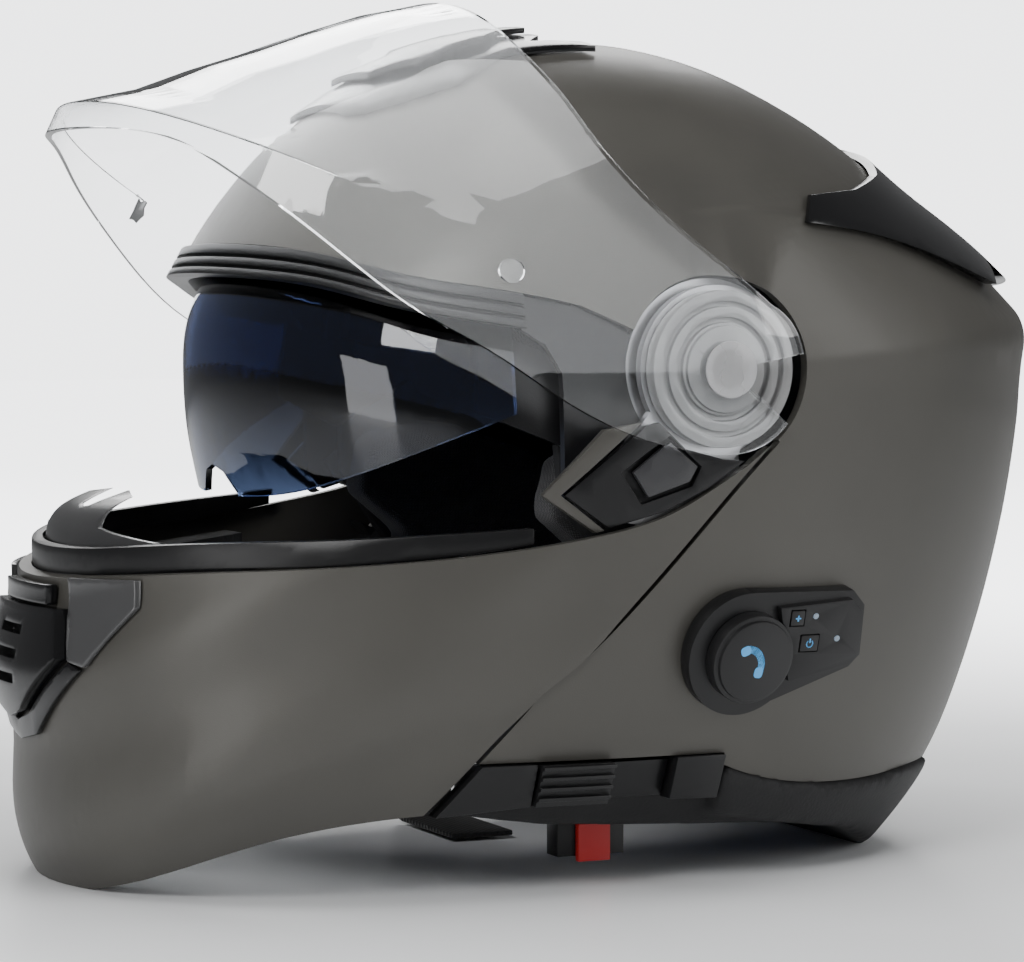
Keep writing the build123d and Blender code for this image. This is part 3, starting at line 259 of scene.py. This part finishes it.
# %% Dust
SPECK_SCALE = 60
SPECK_DETAIL = 8
dust, dust_in, dust_out = new_group("dust", [("Amount", 0.1)], ["Mask"])
shape = add_node(dust, "NewGeometry")
facing = add_node(dust, "SeparateXYZ")
dust.links.new(shape.outputs["Normal"], facing.inputs[0])
spot = add_node(dust, "TexCoord")
specks = add_node(dust, "TexNoise", {"Scale": SPECK_SCALE, "Detail": SPECK_DETAIL})
dust.links.new(spot.outputs["Object"], specks.inputs["Vector"])
upward = math_node(dust, "MAXIMUM", facing.outputs["Z"], 0.0)
speckled = math_node(dust, "MULTIPLY", upward, specks.outputs["Fac"])
film = math_node(dust, "MULTIPLY", speckled, dust_in.outputs["Amount"])
dust.links.new(film, dust_out.inputs["Mask"])
print("group", dust.name)

# %% [markdown]
# ## Finishes
# The helmet is matte paint, several black plastics and rubbers, cloth and a little steel. Each could
# be wired by hand, but they differ only in their values. So one function makes every opaque finish.
# It starts from a colour, lets the clouds shade it a little, adds dust where the piece looks up, and
# turns the grain or the knit into relief. The sheen, metallic share and coat are set on the shader.

# %% A finish for opaque pieces
DUST_COLOUR = (0.35, 0.34, 0.32, 1)
COAT_ROUGHNESS = 0.2
ROUGHNESS_SPREAD = 0.12
CLOUD_LOW, CLOUD_HIGH = 0.3, 0.7


def finish(name, colour, roughness, relief="grain", scale=900.0, depth=0.1, spread=0.12, dusty=0.05,
           metallic=0.0, coat=0.0, sheen=0.0, distance=0.0003, specular=0.5):
    """A material with shaded colour, a little dust and fine relief."""
    material = bpy.data.materials.new(name)
    material.use_nodes = True
    tree = material.node_tree
    shader = tree.nodes["Principled BSDF"]
    constants = {"Metallic": metallic, "Coat Weight": coat, "Coat Roughness": COAT_ROUGHNESS,
                 "Sheen Weight": sheen, "Specular IOR Level": specular}
    for label, value in constants.items():
        shader.inputs[label].default_value = value
    effect = add_node(tree, "Group", node_tree=bpy.data.node_groups[relief])
    effect.inputs[0].default_value = scale
    clouds = add_node(tree, "Group", node_tree=grain)
    settled = add_node(tree, "Group", {"Amount": dusty}, node_tree=dust)
    ramp = add_node(tree, "ValToRGB")
    darker, lighter = ramp.color_ramp.elements
    darker.position, lighter.position = CLOUD_LOW, CLOUD_HIGH
    darker.color = [c * (1 - spread) for c in colour] + [1]
    lighter.color = [min(1, c * (1 + spread)) for c in colour] + [1]
    mix = add_node(tree, "Mix", {"B": DUST_COLOUR}, data_type="RGBA")
    tree.links.new(clouds.outputs["Cloud"], ramp.inputs["Fac"])
    tree.links.new(settled.outputs["Mask"], mix.inputs["Factor"])
    tree.links.new(ramp.outputs["Color"], mix.inputs["A"])
    tree.links.new(mix.outputs["Result"], shader.inputs["Base Color"])
    gloss = add_node(tree, "MapRange", {"To Min": roughness * (1 - ROUGHNESS_SPREAD),
                                        "To Max": min(1, roughness * (1 + ROUGHNESS_SPREAD))})
    tree.links.new(clouds.outputs["Cloud"], gloss.inputs["Value"])
    tree.links.new(gloss.outputs["Result"], shader.inputs["Roughness"])
    bump = add_node(tree, "Bump", {"Strength": depth, "Distance": distance})
    tree.links.new(effect.outputs["Height"], bump.inputs["Height"])
    tree.links.new(bump.outputs["Normal"], shader.inputs["Normal"])
    return material


# %% [markdown]
# The finishes are kept by the record's slots. The blacks differ little in colour, as on the real
# helmet. What tells them apart is how glossy they are and how coarse their grain is. A grain's scale
# is in waves per metre, and its depth is how strongly it shows.

# %% The painted shell, the foam and the cloths
PLAIN_BLACK = (0.006, 0.006, 0.0065)
SOFT_BLACK = (0.007, 0.007, 0.0075)
WARM_BLACK = (0.008, 0.008, 0.0085)
finishes = {
    "shell_paint": finish("matte_gunmetal", (0.062, 0.059, 0.052), 0.46, scale=2600, depth=0.12,
                          metallic=0.35, coat=0.08, dusty=0.04),
    "foam": finish("black_foam", (0.02, 0.02, 0.021), 0.85, scale=320, depth=0.5, distance=0.001,
                   specular=0.3),
    "lining": finish("grey_knit_lining", (0.012, 0.012, 0.013), 0.95, relief="knit", scale=900,
                     depth=0.7, sheen=0.25, distance=0.0006, specular=0.3),
    "neck_fabric": finish("neck_cloth", PLAIN_BLACK, 0.55, scale=900, depth=0.35, dusty=0.01,
                          distance=0.0004, specular=0.3),
    "strap_webbing": finish("strap_webbing", WARM_BLACK, 0.8, relief="knit", scale=380, depth=0.8,
                            sheen=0.15, distance=0.0005, specular=0.3),
    "speaker_plastic": finish("speaker_felt", (0.02, 0.02, 0.02), 0.9, scale=500, depth=0.5),
}
print("finishes", len(finishes))

# %% The rubbers, plastics and steel
finishes.update({
    "seal_rubber": finish("seal_rubber", PLAIN_BLACK, 0.36, scale=1500, depth=0.06, dusty=0.01,
                          specular=0.3),
    "soft_rubber": finish("soft_rubber", SOFT_BLACK, 0.5, scale=1500, depth=0.1, dusty=0.01,
                          specular=0.3),
    "black_plastic": finish("black_plastic", PLAIN_BLACK, 0.3, scale=2200, depth=0.12, dusty=0.01,
                            specular=0.3),
    "gloss_black": finish("satin_black", (0.005, 0.005, 0.0055), 0.2, scale=2400, depth=0.05,
                          coat=0.1, dusty=0.01, specular=0.35),
    "knob_plastic": finish("knob_plastic", WARM_BLACK, 0.3, scale=1800, depth=0.1, dusty=0.01,
                           specular=0.35),
    "plate_steel": finish("brushed_plate", (0.42, 0.42, 0.43), 0.35, scale=700, depth=0.1,
                          metallic=1.0),
    "vent_grey": finish("vent_grey", (0.045, 0.045, 0.046), 0.2, scale=2400, depth=0.06, coat=0.4),
    "red_plastic": finish("red_plastic", (0.42, 0.012, 0.012), 0.35, scale=1500, depth=0.1),
    "cap_plastic": finish("cap_plastic", (0.035, 0.035, 0.037), 0.35, scale=1500, depth=0.1),
    "intercom_case": finish("intercom_case", PLAIN_BLACK, 0.4, scale=2600, depth=0.15, dusty=0.01,
                            specular=0.35),
    "intercom_dial": finish("dial_rubber", SOFT_BLACK, 0.38, scale=2600, depth=0.12, dusty=0.01,
                            specular=0.35),
    "intercom_key": finish("key_rubber", (0.009, 0.009, 0.0095), 0.42, scale=2600, depth=0.12,
                           dusty=0.01, specular=0.35),
    "lever_plastic": finish("lever_plastic", (0.022, 0.022, 0.024), 0.38, scale=1800, depth=0.12),
})
print("finishes", len(finishes))

# %% [markdown]
# ## Visors
# The visors are real thin mouldings with two faces, so they can refract and mirror light like the
# polycarbonate they are made of. A thin see-through surface would be quicker, but it would have no
# edge. The sun visor is dyed dark navy, and the dye thins out to a lighter blue along its lower edge.

# %% A lens
LENS_INDEX = 1.5
HAZE_SCALE = 25
HAZE_LOW, HAZE_HIGH = 0.5, 1.6


def lens(name, colour, transmission, roughness=0.03):
    """A glossy lens material with a little haze."""
    material = bpy.data.materials.new(name)
    material.use_nodes = True
    tree = material.node_tree
    shader = tree.nodes["Principled BSDF"]
    shader.inputs["Base Color"].default_value = colour + (1,)
    shader.inputs["Transmission Weight"].default_value = transmission
    shader.inputs["IOR"].default_value = LENS_INDEX
    haze = add_node(tree, "Group", {"Cloud Scale": HAZE_SCALE}, node_tree=grain)
    gloss = add_node(tree, "MapRange", {"To Min": roughness * HAZE_LOW,
                                        "To Max": roughness * HAZE_HIGH})
    tree.links.new(haze.outputs["Cloud"], gloss.inputs["Value"])
    tree.links.new(gloss.outputs["Result"], shader.inputs["Roughness"])
    return material


finishes["clear_lens"] = lens("clear_visor", (0.975, 0.985, 0.99), 1.0, 0.015)
finishes["lamp_plastic"] = lens("lamp_lens", (0.4, 0.5, 0.6), 0.5, 0.2)
finishes["dark_lens"] = lens("navy_sun_visor", (0.05, 0.08, 0.18), 1.0)
print("lenses", 3)

# %% The sun visor's dye, by height
FADE_SHARE = 0.35
EDGE_BLUE = (0.11, 0.16, 0.3, 1)
DEEP_NAVY = (0.02, 0.03, 0.075, 1)
tree = finishes["dark_lens"].node_tree
low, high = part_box("sun_visor")
spot = add_node(tree, "TexCoord")
axes = add_node(tree, "SeparateXYZ")
fade = add_node(tree, "MapRange", {"From Min": low.z,
                                   "From Max": low.z + FADE_SHARE * (high.z - low.z)})
dye = add_node(tree, "ValToRGB")
dye.color_ramp.elements[0].color = EDGE_BLUE
dye.color_ramp.elements[1].color = DEEP_NAVY
tree.links.new(spot.outputs["Object"], axes.inputs[0])
tree.links.new(axes.outputs["Z"], fade.inputs["Value"])
tree.links.new(fade.outputs["Result"], dye.inputs["Fac"])
tree.links.new(dye.outputs["Color"], tree.nodes["Principled BSDF"].inputs["Base Color"])
print("dye from", round(low.z, 3), "to", round(low.z + FADE_SHARE * (high.z - low.z), 3))

# %% [markdown]
# The floor is pale and nearly smooth, so that it carries a soft shadow and a faint mirror image. Far
# from the helmet it has to run into the white background without a line. It glows there, more with
# the distance, and only for the camera, so that the glow lights nothing.

# %% Floor finish
GLOW_START, GLOW_END = 0.15, 1.1
floor_finish = finish("pale_floor", (0.9, 0.91, 0.92), 0.3, scale=300, depth=0.01, spread=0.01,
                      dusty=0.0)
floor.data.materials.append(floor_finish)
tree = floor_finish.node_tree
shader = tree.nodes["Principled BSDF"]
spot = add_node(tree, "TexCoord")
span = add_node(tree, "VectorMath", operation="LENGTH")
glow = add_node(tree, "MapRange", {"From Min": GLOW_START, "From Max": GLOW_END, "To Max": SEEN},
                interpolation_type="SMOOTHSTEP")
path = add_node(tree, "LightPath")
shown = add_node(tree, "Math", operation="MULTIPLY")
tree.links.new(spot.outputs["Object"], span.inputs[0])
tree.links.new(span.outputs["Value"], glow.inputs["Value"])
tree.links.new(glow.outputs["Result"], shown.inputs[0])
tree.links.new(path.outputs["Is Camera Ray"], shown.inputs[1])
tree.links.new(shown.outputs[0], shader.inputs["Emission Strength"])
shader.inputs["Emission Color"].default_value = BACKDROP
print("floor finish", floor_finish.name)

# %% [markdown]
# ## Skins of the rigid pieces
# A node of the construction model is a bag of loose triangles. A copy of it is welded, so that light
# runs smoothly over its curves and stops at its real edges. A fine bevel then rounds those edges,
# because no moulding has a knife edge, and the light along them is what makes a piece look made.
# Modelling each piece again would take long and would drift away from the construction model.

# %% Weld a copy of a node
WELD_REACH = 0.00001


def only(thing):
    """Select one object and make it active."""
    bpy.ops.object.select_all(action="DESELECT")
    thing.select_set(True)
    bpy.context.view_layer.objects.active = thing


def welded(node, name):
    """A welded copy of a node's mesh as a new object."""
    piece = bpy.data.objects.new(name, frame["nodes"][node].data.copy())
    bpy.context.scene.collection.objects.link(piece)
    only(piece)
    bpy.ops.mesh.customdata_custom_splitnormals_clear()
    bpy.ops.object.mode_set(mode="EDIT")
    bpy.ops.mesh.select_all(action="SELECT")
    bpy.ops.mesh.remove_doubles(threshold=WELD_REACH)
    bpy.ops.object.mode_set(mode="OBJECT")
    return piece


def apply_modifier(piece, kind, **settings):
    """Put one modifier on a piece and apply it."""
    modifier = piece.modifiers.new(kind.lower(), kind)
    for label, value in settings.items():
        setattr(modifier, label, value)
    bpy.ops.object.modifier_apply(modifier=modifier.name)


# %% [markdown]
# A few pieces need a finish that their slot doesn't give: the ringed bases and screws that the visor
# turns on are frosted, its two small pins are clear, and the breath guard is a smoky grey.

# %% Settle a piece in its node's place
frosted = finish("frosted_pivot", (0.2, 0.2, 0.2), 0.3, scale=1800, depth=0.1, coat=0.3, dusty=0.0)
own_finish = {
    "visor_base_left": frosted,
    "visor_base_right": frosted,
    "visor_screws": lens("frosted_screw", (0.6, 0.6, 0.61), 0.5, 0.3),
    "pinlock_pins": finishes["clear_lens"],
    "breath_guard": finish("smoky_guard", (0.03, 0.03, 0.031), 0.3, scale=1500, depth=0.08,
                           coat=0.2),
}


def settle(piece, node):
    """Give a piece its finish and let it stand for its node."""
    piece.data.materials.clear()
    piece.data.materials.append(own_finish.get(node) or finishes[slot_of_node[node]])
    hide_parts(node)
    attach(piece, body_of_node[node])


# %% Skin a rigid node
SMOOTH_ANGLE = math.radians(32)
EDGE_ANGLE = math.radians(40)
FLAT_ANGLE = math.radians(0.8)
EDGE_SEGMENTS = 2


def skin(node, bevel):
    """A smooth skin for a rigid node, with fine rounded edges where a bevel's width is given."""
    piece = welded(node, node + "_skin")
    if bevel:
        bpy.ops.object.mode_set(mode="EDIT")
        bpy.ops.mesh.dissolve_limited(angle_limit=FLAT_ANGLE)
        bpy.ops.object.mode_set(mode="OBJECT")
        apply_modifier(piece, "BEVEL", width=bevel, segments=EDGE_SEGMENTS, limit_method="ANGLE",
                       angle_limit=EDGE_ANGLE, use_clamp_overlap=True)
    bpy.ops.object.shade_smooth_by_angle(angle=SMOOTH_ANGLE)
    settle(piece, node)
    return piece


# %% [markdown]
# Pieces that stay hidden inside keep their plain meshes. Trims and small mouldings get a bevel. The
# shells and visors don't, because their fine triangles would make the bevel ripple. Soft goods come
# later, each made in its own way.

# %% Skin all rigid nodes
TRIM_BEVEL = 0.0004
soft_nodes = ["crown_pad", "cheek_pad_left", "cheek_pad_right", "neck_roll", "chin_curtain",
              "microphone", "strap_left", "strap_right"]
plain_nodes = ["hinge_plates", "hinge_pins", "chin_arm_left", "chin_arm_right", "sun_visor_pins",
               "strap_anchors", "speakers", "release_housing"]
trims = ["slider_cover", "slider_rail", "slider_end_cap", "sun_visor_knob", "edge_trim_right",
         "intercom_base", "intercom_body", "intercom_knob", "power_button", "volume_button",
         "side_plate_left", "side_plate_right", "visor_lever_left", "visor_lever_right",
         "trim_strip_left", "trim_strip_right", "vent_cheek_left", "vent_cheek_right", "vent_lip",
         "chin_vent_frame", "chin_vent_shutter", "top_vent_base", "top_vent_slider", "rear_spoiler",
         "buckle", "buckle_lever", "breath_guard", "visor_base_left", "visor_base_right",
         "visor_screws", "brow_gasket", "chin_gasket"]
skins = {}
for node in sorted(frame["nodes"]):
    if node in plain_nodes:
        frame["nodes"][node].data.materials.clear()
        frame["nodes"][node].data.materials.append(finishes[slot_of_node[node]])
    elif node not in soft_nodes:
        skins[node] = skin(node, TRIM_BEVEL if node in trims else 0.0)
print("skinned", len(skins), "plain", len(plain_nodes))

# %% [markdown]
# ## Creases in the shells
# Two soft lines give the real shells their character: a shoulder along the side of the outer shell,
# and a crease along the chin bar. They are about a millimetre high, so the construction model leaves
# them out. Here each is raised along a line drawn in the side view, on both sides of the helmet. The
# faces near the line are cut finer first, so that the ridge has enough points to be soft.

# %% Distance from a line in the side view
SHOULDER = [(7, 204), (25, 205.4), (49, 204), (89, 198.5), (112, 191), (133, 188)]
CHIN_CREASE = [(-150, 28), (-118, 43), (-82, 56), (-35, 66), (-12, 70)]
FADE_OUT = 12 * MM
FAR_AWAY = 1.0


def line_distance(points, line):
    """Each point's signed distance to a line, and how far the ridge has faded at its ends."""
    way = np.array(line) * MM
    flat = points[:, [0, 2]]
    best = np.full(len(flat), FAR_AWAY)
    side = np.ones(len(flat))
    for start, stop in zip(way, way[1:]):
        step = stop - start
        share = np.clip((flat - start) @ step / (step @ step), 0, 1)
        apart = flat - (start + share[:, None] * step)
        far = np.hypot(apart[:, 0], apart[:, 1])
        near = far < best
        best[near] = far[near]
        side[near] = np.sign(step[0] * apart[:, 1] - step[1] * apart[:, 0])[near]
    end = np.minimum(flat[:, 0] - way[0, 0], way[-1, 0] - flat[:, 0])
    return best * side, np.clip(end / FADE_OUT, 0, 1)


def read_points(items, name, width=3):
    """One attribute of many mesh items as an array."""
    values = np.empty(len(items) * width)
    items.foreach_get(name, values)
    return values.reshape(-1, width)


# %% Raise the creases
MIDDLE_HALF = 0.03
SHELL_MIDDLE = (0, 0, 0.12)
CUT_SHARE = 0.6
SMALLEST_CUT = 0.8 * MM * MM


def cut_finer(piece, line, reach):
    """Cut the faces near a line once, outside the middle of the helmet."""
    centres = read_points(piece.data.polygons, "center")
    areas = read_points(piece.data.polygons, "area", 1)[:, 0]
    offset, _fade = line_distance(centres, line)
    chosen = (np.abs(offset) < CUT_SHARE * reach) & (np.abs(centres[:, 1]) > MIDDLE_HALF)
    chosen &= areas > SMALLEST_CUT
    for items in (piece.data.vertices, piece.data.edges):
        items.foreach_set("select", np.zeros(len(items), dtype=bool))
    piece.data.polygons.foreach_set("select", chosen)
    bpy.ops.object.mode_set(mode="EDIT")
    bpy.ops.mesh.subdivide(number_cuts=1)
    bpy.ops.object.mode_set(mode="OBJECT")


def crease(piece, line, above, below, height, cuts):
    """Raise a soft ridge along a line, in millimetres, on both sides of a skin."""
    only(piece)
    for _ in range(cuts):
        cut_finer(piece, line, max(above, below) * MM)
    points = read_points(piece.data.vertices, "co")
    normals = read_points(piece.data.vertices, "normal")
    offset, fade = line_distance(points, line)
    outer = (normals * (points - SHELL_MIDDLE)).sum(axis=1) > 0
    outer &= (normals[:, 1] * points[:, 1] > 0) & (np.abs(points[:, 1]) > MIDDLE_HALF)
    fall = np.clip(1 - np.abs(offset) / (np.where(offset > 0, above, below) * MM), 0, 1)
    rise = height * MM * fade * fall * fall * (3 - 2 * fall) * outer
    piece.data.vertices.foreach_set("co", (points + normals * rise[:, None]).ravel())
    piece.data.update()
    bpy.ops.object.shade_smooth_by_angle(angle=SMOOTH_ANGLE)
    print(piece.name, "creased, faces", len(piece.data.polygons))


crease(skins["outer_shell"], SHOULDER, above=3, below=30, height=0.9, cuts=2)
crease(skins["chin_bar_shell"], CHIN_CREASE, above=26, below=14, height=1.4, cuts=2)

# %% [markdown]
# ## Soft goods
# Pads are foam under knitted cloth, so their edges are round and their faces swell. They could be
# inflated by a cloth simulation. For foam this firm, it is enough to remesh a copy of the node into
# even squares, and to let repeated smoothing melt its corners, the way cloth over foam does.

# %% Melt a copy of a node
MELT_FACTOR = 0.5


def melted(node, voxel, rounds, swell=0.0):
    """A soft piece in the space of its node, settled in its place."""
    piece = welded(node, node + "_soft")
    apply_modifier(piece, "REMESH", mode="VOXEL", voxel_size=voxel)
    apply_modifier(piece, "SMOOTH", factor=MELT_FACTOR, iterations=rounds)
    if swell:
        apply_modifier(piece, "DISPLACE", strength=swell, mid_level=0)
    bpy.ops.object.shade_smooth()
    settle(piece, node)
    print(piece.name, "faces", len(piece.data.polygons))
    return piece


# %% Pads, and the curtain under the chin
melted("crown_pad", voxel=0.003, rounds=10, swell=0.0004)
melted("cheek_pad_left", voxel=0.0025, rounds=12, swell=0.0006)
melted("cheek_pad_right", voxel=0.0025, rounds=12, swell=0.0006)
melted("neck_roll", voxel=0.0018, rounds=16, swell=0.0008)
melted("microphone", voxel=0.0008, rounds=6)
melted("chin_curtain", voxel=0.0009, rounds=4)
print("soft pieces", len(soft_nodes))

# %% [markdown]
# The chin strap is flat webbing: a woven tape about two millimetres thick. It is made directly, by
# drawing one edge of the tape along its way, and then giving it a wall and soft edges. Remeshing a
# solid would melt so thin a piece. The left half hangs into its buckle, and the right half hangs
# down, turns and lies on the floor.

# %% Webbing drawn along its way
WEB_WALL = 0.0018
WEB_EDGE_SHARE = 0.3
LINE_WELD = 0.0001


def webbing(node, way):
    """A tape through the points of its way, given as (y, z) in metres, as wide as its node."""
    low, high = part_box(node)
    start = ((low.x + high.x) / 2, way[0][0], way[0][1])
    bpy.ops.object.select_all(action="DESELECT")
    bpy.ops.mesh.primitive_plane_add(size=high.x - low.x, location=start)
    tape = bpy.context.active_object
    tape.name = node + "_webbing"
    bpy.ops.object.transform_apply(location=True)
    bpy.ops.object.mode_set(mode="EDIT")
    bpy.ops.mesh.select_all(action="SELECT")
    bpy.ops.transform.resize(value=(1, 0, 1), center_override=start)
    bpy.ops.mesh.remove_doubles(threshold=LINE_WELD)
    bpy.ops.mesh.select_mode(type="EDGE")
    for (y, z), (next_y, next_z) in zip(way, way[1:]):
        step = {"value": (0, next_y - y, next_z - z)}
        bpy.ops.mesh.extrude_edges_move(TRANSFORM_OT_translate=step)
    bpy.ops.mesh.select_all(action="SELECT")
    bpy.ops.mesh.normals_make_consistent(inside=False)
    bpy.ops.object.mode_set(mode="OBJECT")
    apply_modifier(tape, "SOLIDIFY", thickness=WEB_WALL, offset=0)
    apply_modifier(tape, "BEVEL", width=WEB_WALL * WEB_EDGE_SHARE, segments=EDGE_SEGMENTS,
                   limit_method="ANGLE")
    bpy.ops.object.shade_smooth_by_angle(angle=SMOOTH_ANGLE)
    settle(tape, node)
    print(tape.name, "faces", len(tape.data.polygons))


# %% The two halves of the strap
BEND = 0.010
BEND_STEP = 15
HANG_STEPS, LAID_STEPS, LEFT_STEPS = 4, 6, 6
low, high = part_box("strap_left")
middle = (low.y + high.y) / 2
webbing("strap_left", [(middle, high.z - step / LEFT_STEPS * (high.z - low.z))
                       for step in range(LEFT_STEPS + 1)])
low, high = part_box("strap_right")
outside, under = high.y - WEB_WALL / 2, low.z + WEB_WALL / 2
turn = BEND - WEB_WALL / 2
way = [(outside, high.z - step / HANG_STEPS * (high.z - under - turn))
       for step in range(HANG_STEPS + 1)]
for degrees in range(BEND_STEP, 90 + 1, BEND_STEP):
    angle = math.radians(degrees)
    way.append((outside - turn + turn * math.cos(angle), under + turn - turn * math.sin(angle)))
way += [(outside - turn - step / LAID_STEPS * (outside - turn - low.y), under)
        for step in range(1, LAID_STEPS + 1)]
webbing("strap_right", way)

# %% [markdown]
# ## Signs on the intercom
# Three plain signs are printed on the intercom in light blue: a handset on the dial, a plus sign and
# the usual power sign. They could be a picture on the surface, but then they would blur up close.
# Each is drawn flat, as strokes, and then laid on the face of its key as a thin skin of ink.

# %% Strokes and bars
CORNER_STEPS = 4


def stroke(centre, radius, width, first, last, steps):
    """A flat arc round a centre, in millimetres and degrees, made by spinning an edge."""
    inner_place = (radius * MM, 0, 0)
    bpy.ops.object.select_all(action="DESELECT")
    bpy.ops.mesh.primitive_plane_add(size=width * MM, location=inner_place)
    piece = bpy.context.active_object
    bpy.ops.object.transform_apply(location=True)
    bpy.ops.object.mode_set(mode="EDIT")
    bpy.ops.mesh.select_all(action="SELECT")
    bpy.ops.transform.resize(value=(1, 0, 1), center_override=inner_place)
    bpy.ops.mesh.remove_doubles(threshold=WELD_REACH)
    sweep = math.radians(first - last)
    bpy.ops.mesh.spin(steps=steps, angle=sweep, center=(0, 0, 0), axis=(0, 0, 1))
    bpy.ops.object.mode_set(mode="OBJECT")
    turned = Matrix.Rotation(math.radians(first), 4, "Z")
    piece.data.transform(Matrix.Translation((centre[0] * MM, centre[1] * MM, 0)) @ turned)
    return piece


def bar(centre, wide, high, corner, turn=0.0):
    """A flat bar with rounded corners, in millimetres and degrees."""
    bpy.ops.object.select_all(action="DESELECT")
    bpy.ops.mesh.primitive_plane_add(size=1)
    piece = bpy.context.active_object
    piece.data.transform(Matrix.Diagonal((wide * MM, high * MM, 1, 1)))
    bpy.ops.object.mode_set(mode="EDIT")
    bpy.ops.mesh.select_all(action="SELECT")
    bpy.ops.mesh.bevel(offset=corner * MM, segments=CORNER_STEPS, affect="VERTICES")
    bpy.ops.object.mode_set(mode="OBJECT")
    turned = Matrix.Rotation(math.radians(turn), 4, "Z")
    piece.data.transform(Matrix.Translation((centre[0] * MM, centre[1] * MM, 0)) @ turned)
    return piece


# %% Lay a sign on its key
INK_WALL = 0.00012
joints = frame["record"]["behaviour"]["joints"]
dial_joint = next(joint for joint in joints if joint["child"] == "dial")
outward = Vector(dial_joint["axis"]).normalized()
upward_axis = (Vector((0, 0, 1)) - outward * outward.z).normalized()
rightward = upward_axis.cross(outward)
blue_ink = finish("blue_ink", (0.07, 0.36, 0.74), 0.4, scale=1500, depth=0.05, dusty=0.0)


def sign(name, node, pieces):
    """Strokes joined into one thin sign on the front of a node."""
    points = [vertex.co for vertex in frame["nodes"][node].data.vertices]
    front = max(point.dot(outward) for point in points)
    middle = sum(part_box(node), Vector()) / 2
    place = middle + outward * (front - middle.dot(outward))
    bpy.ops.object.select_all(action="DESELECT")
    for piece in pieces:
        piece.select_set(True)
    bpy.context.view_layer.objects.active = pieces[0]
    if len(pieces) > 1:
        bpy.ops.object.join()
    mark = bpy.context.active_object
    mark.name = name
    apply_modifier(mark, "SOLIDIFY", thickness=INK_WALL, offset=1)
    turned = Matrix((rightward, upward_axis, outward)).transposed().to_4x4()
    mark.data.transform(Matrix.Translation(place) @ turned)
    mark.data.materials.clear()
    mark.data.materials.append(blue_ink)
    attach(mark, body_of_node[node])
    print(name, "at", [round(c, 4) for c in place])


# %% The three signs
sign("handset_sign", "intercom_knob", [
    stroke((-3.4, -1.4), radius=5.4, width=2.3, first=-12, last=88, steps=16),
    bar((-4.2, 3.5), wide=3.4, high=3.0, corner=1.1, turn=20),
    bar((1.3, -3.6), wide=3.0, high=3.4, corner=1.1, turn=-8)])
sign("plus_sign", "volume_button", [
    bar((0, 0), wide=1.9, high=0.45, corner=0.15),
    bar((0, 0), wide=0.45, high=1.9, corner=0.15)])
sign("power_sign", "power_button", [
    stroke((0, -0.1), radius=1.1, width=0.4, first=125, last=415, steps=20),
    bar((0, 0.9), wide=0.4, high=1.4, corner=0.15)])

# %% [markdown]
# ## Close
# The box round every piece that is shown is taken at the end, so that the visual model can be set
# against the construction model's box.

# %% Sizes and finish
low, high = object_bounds()
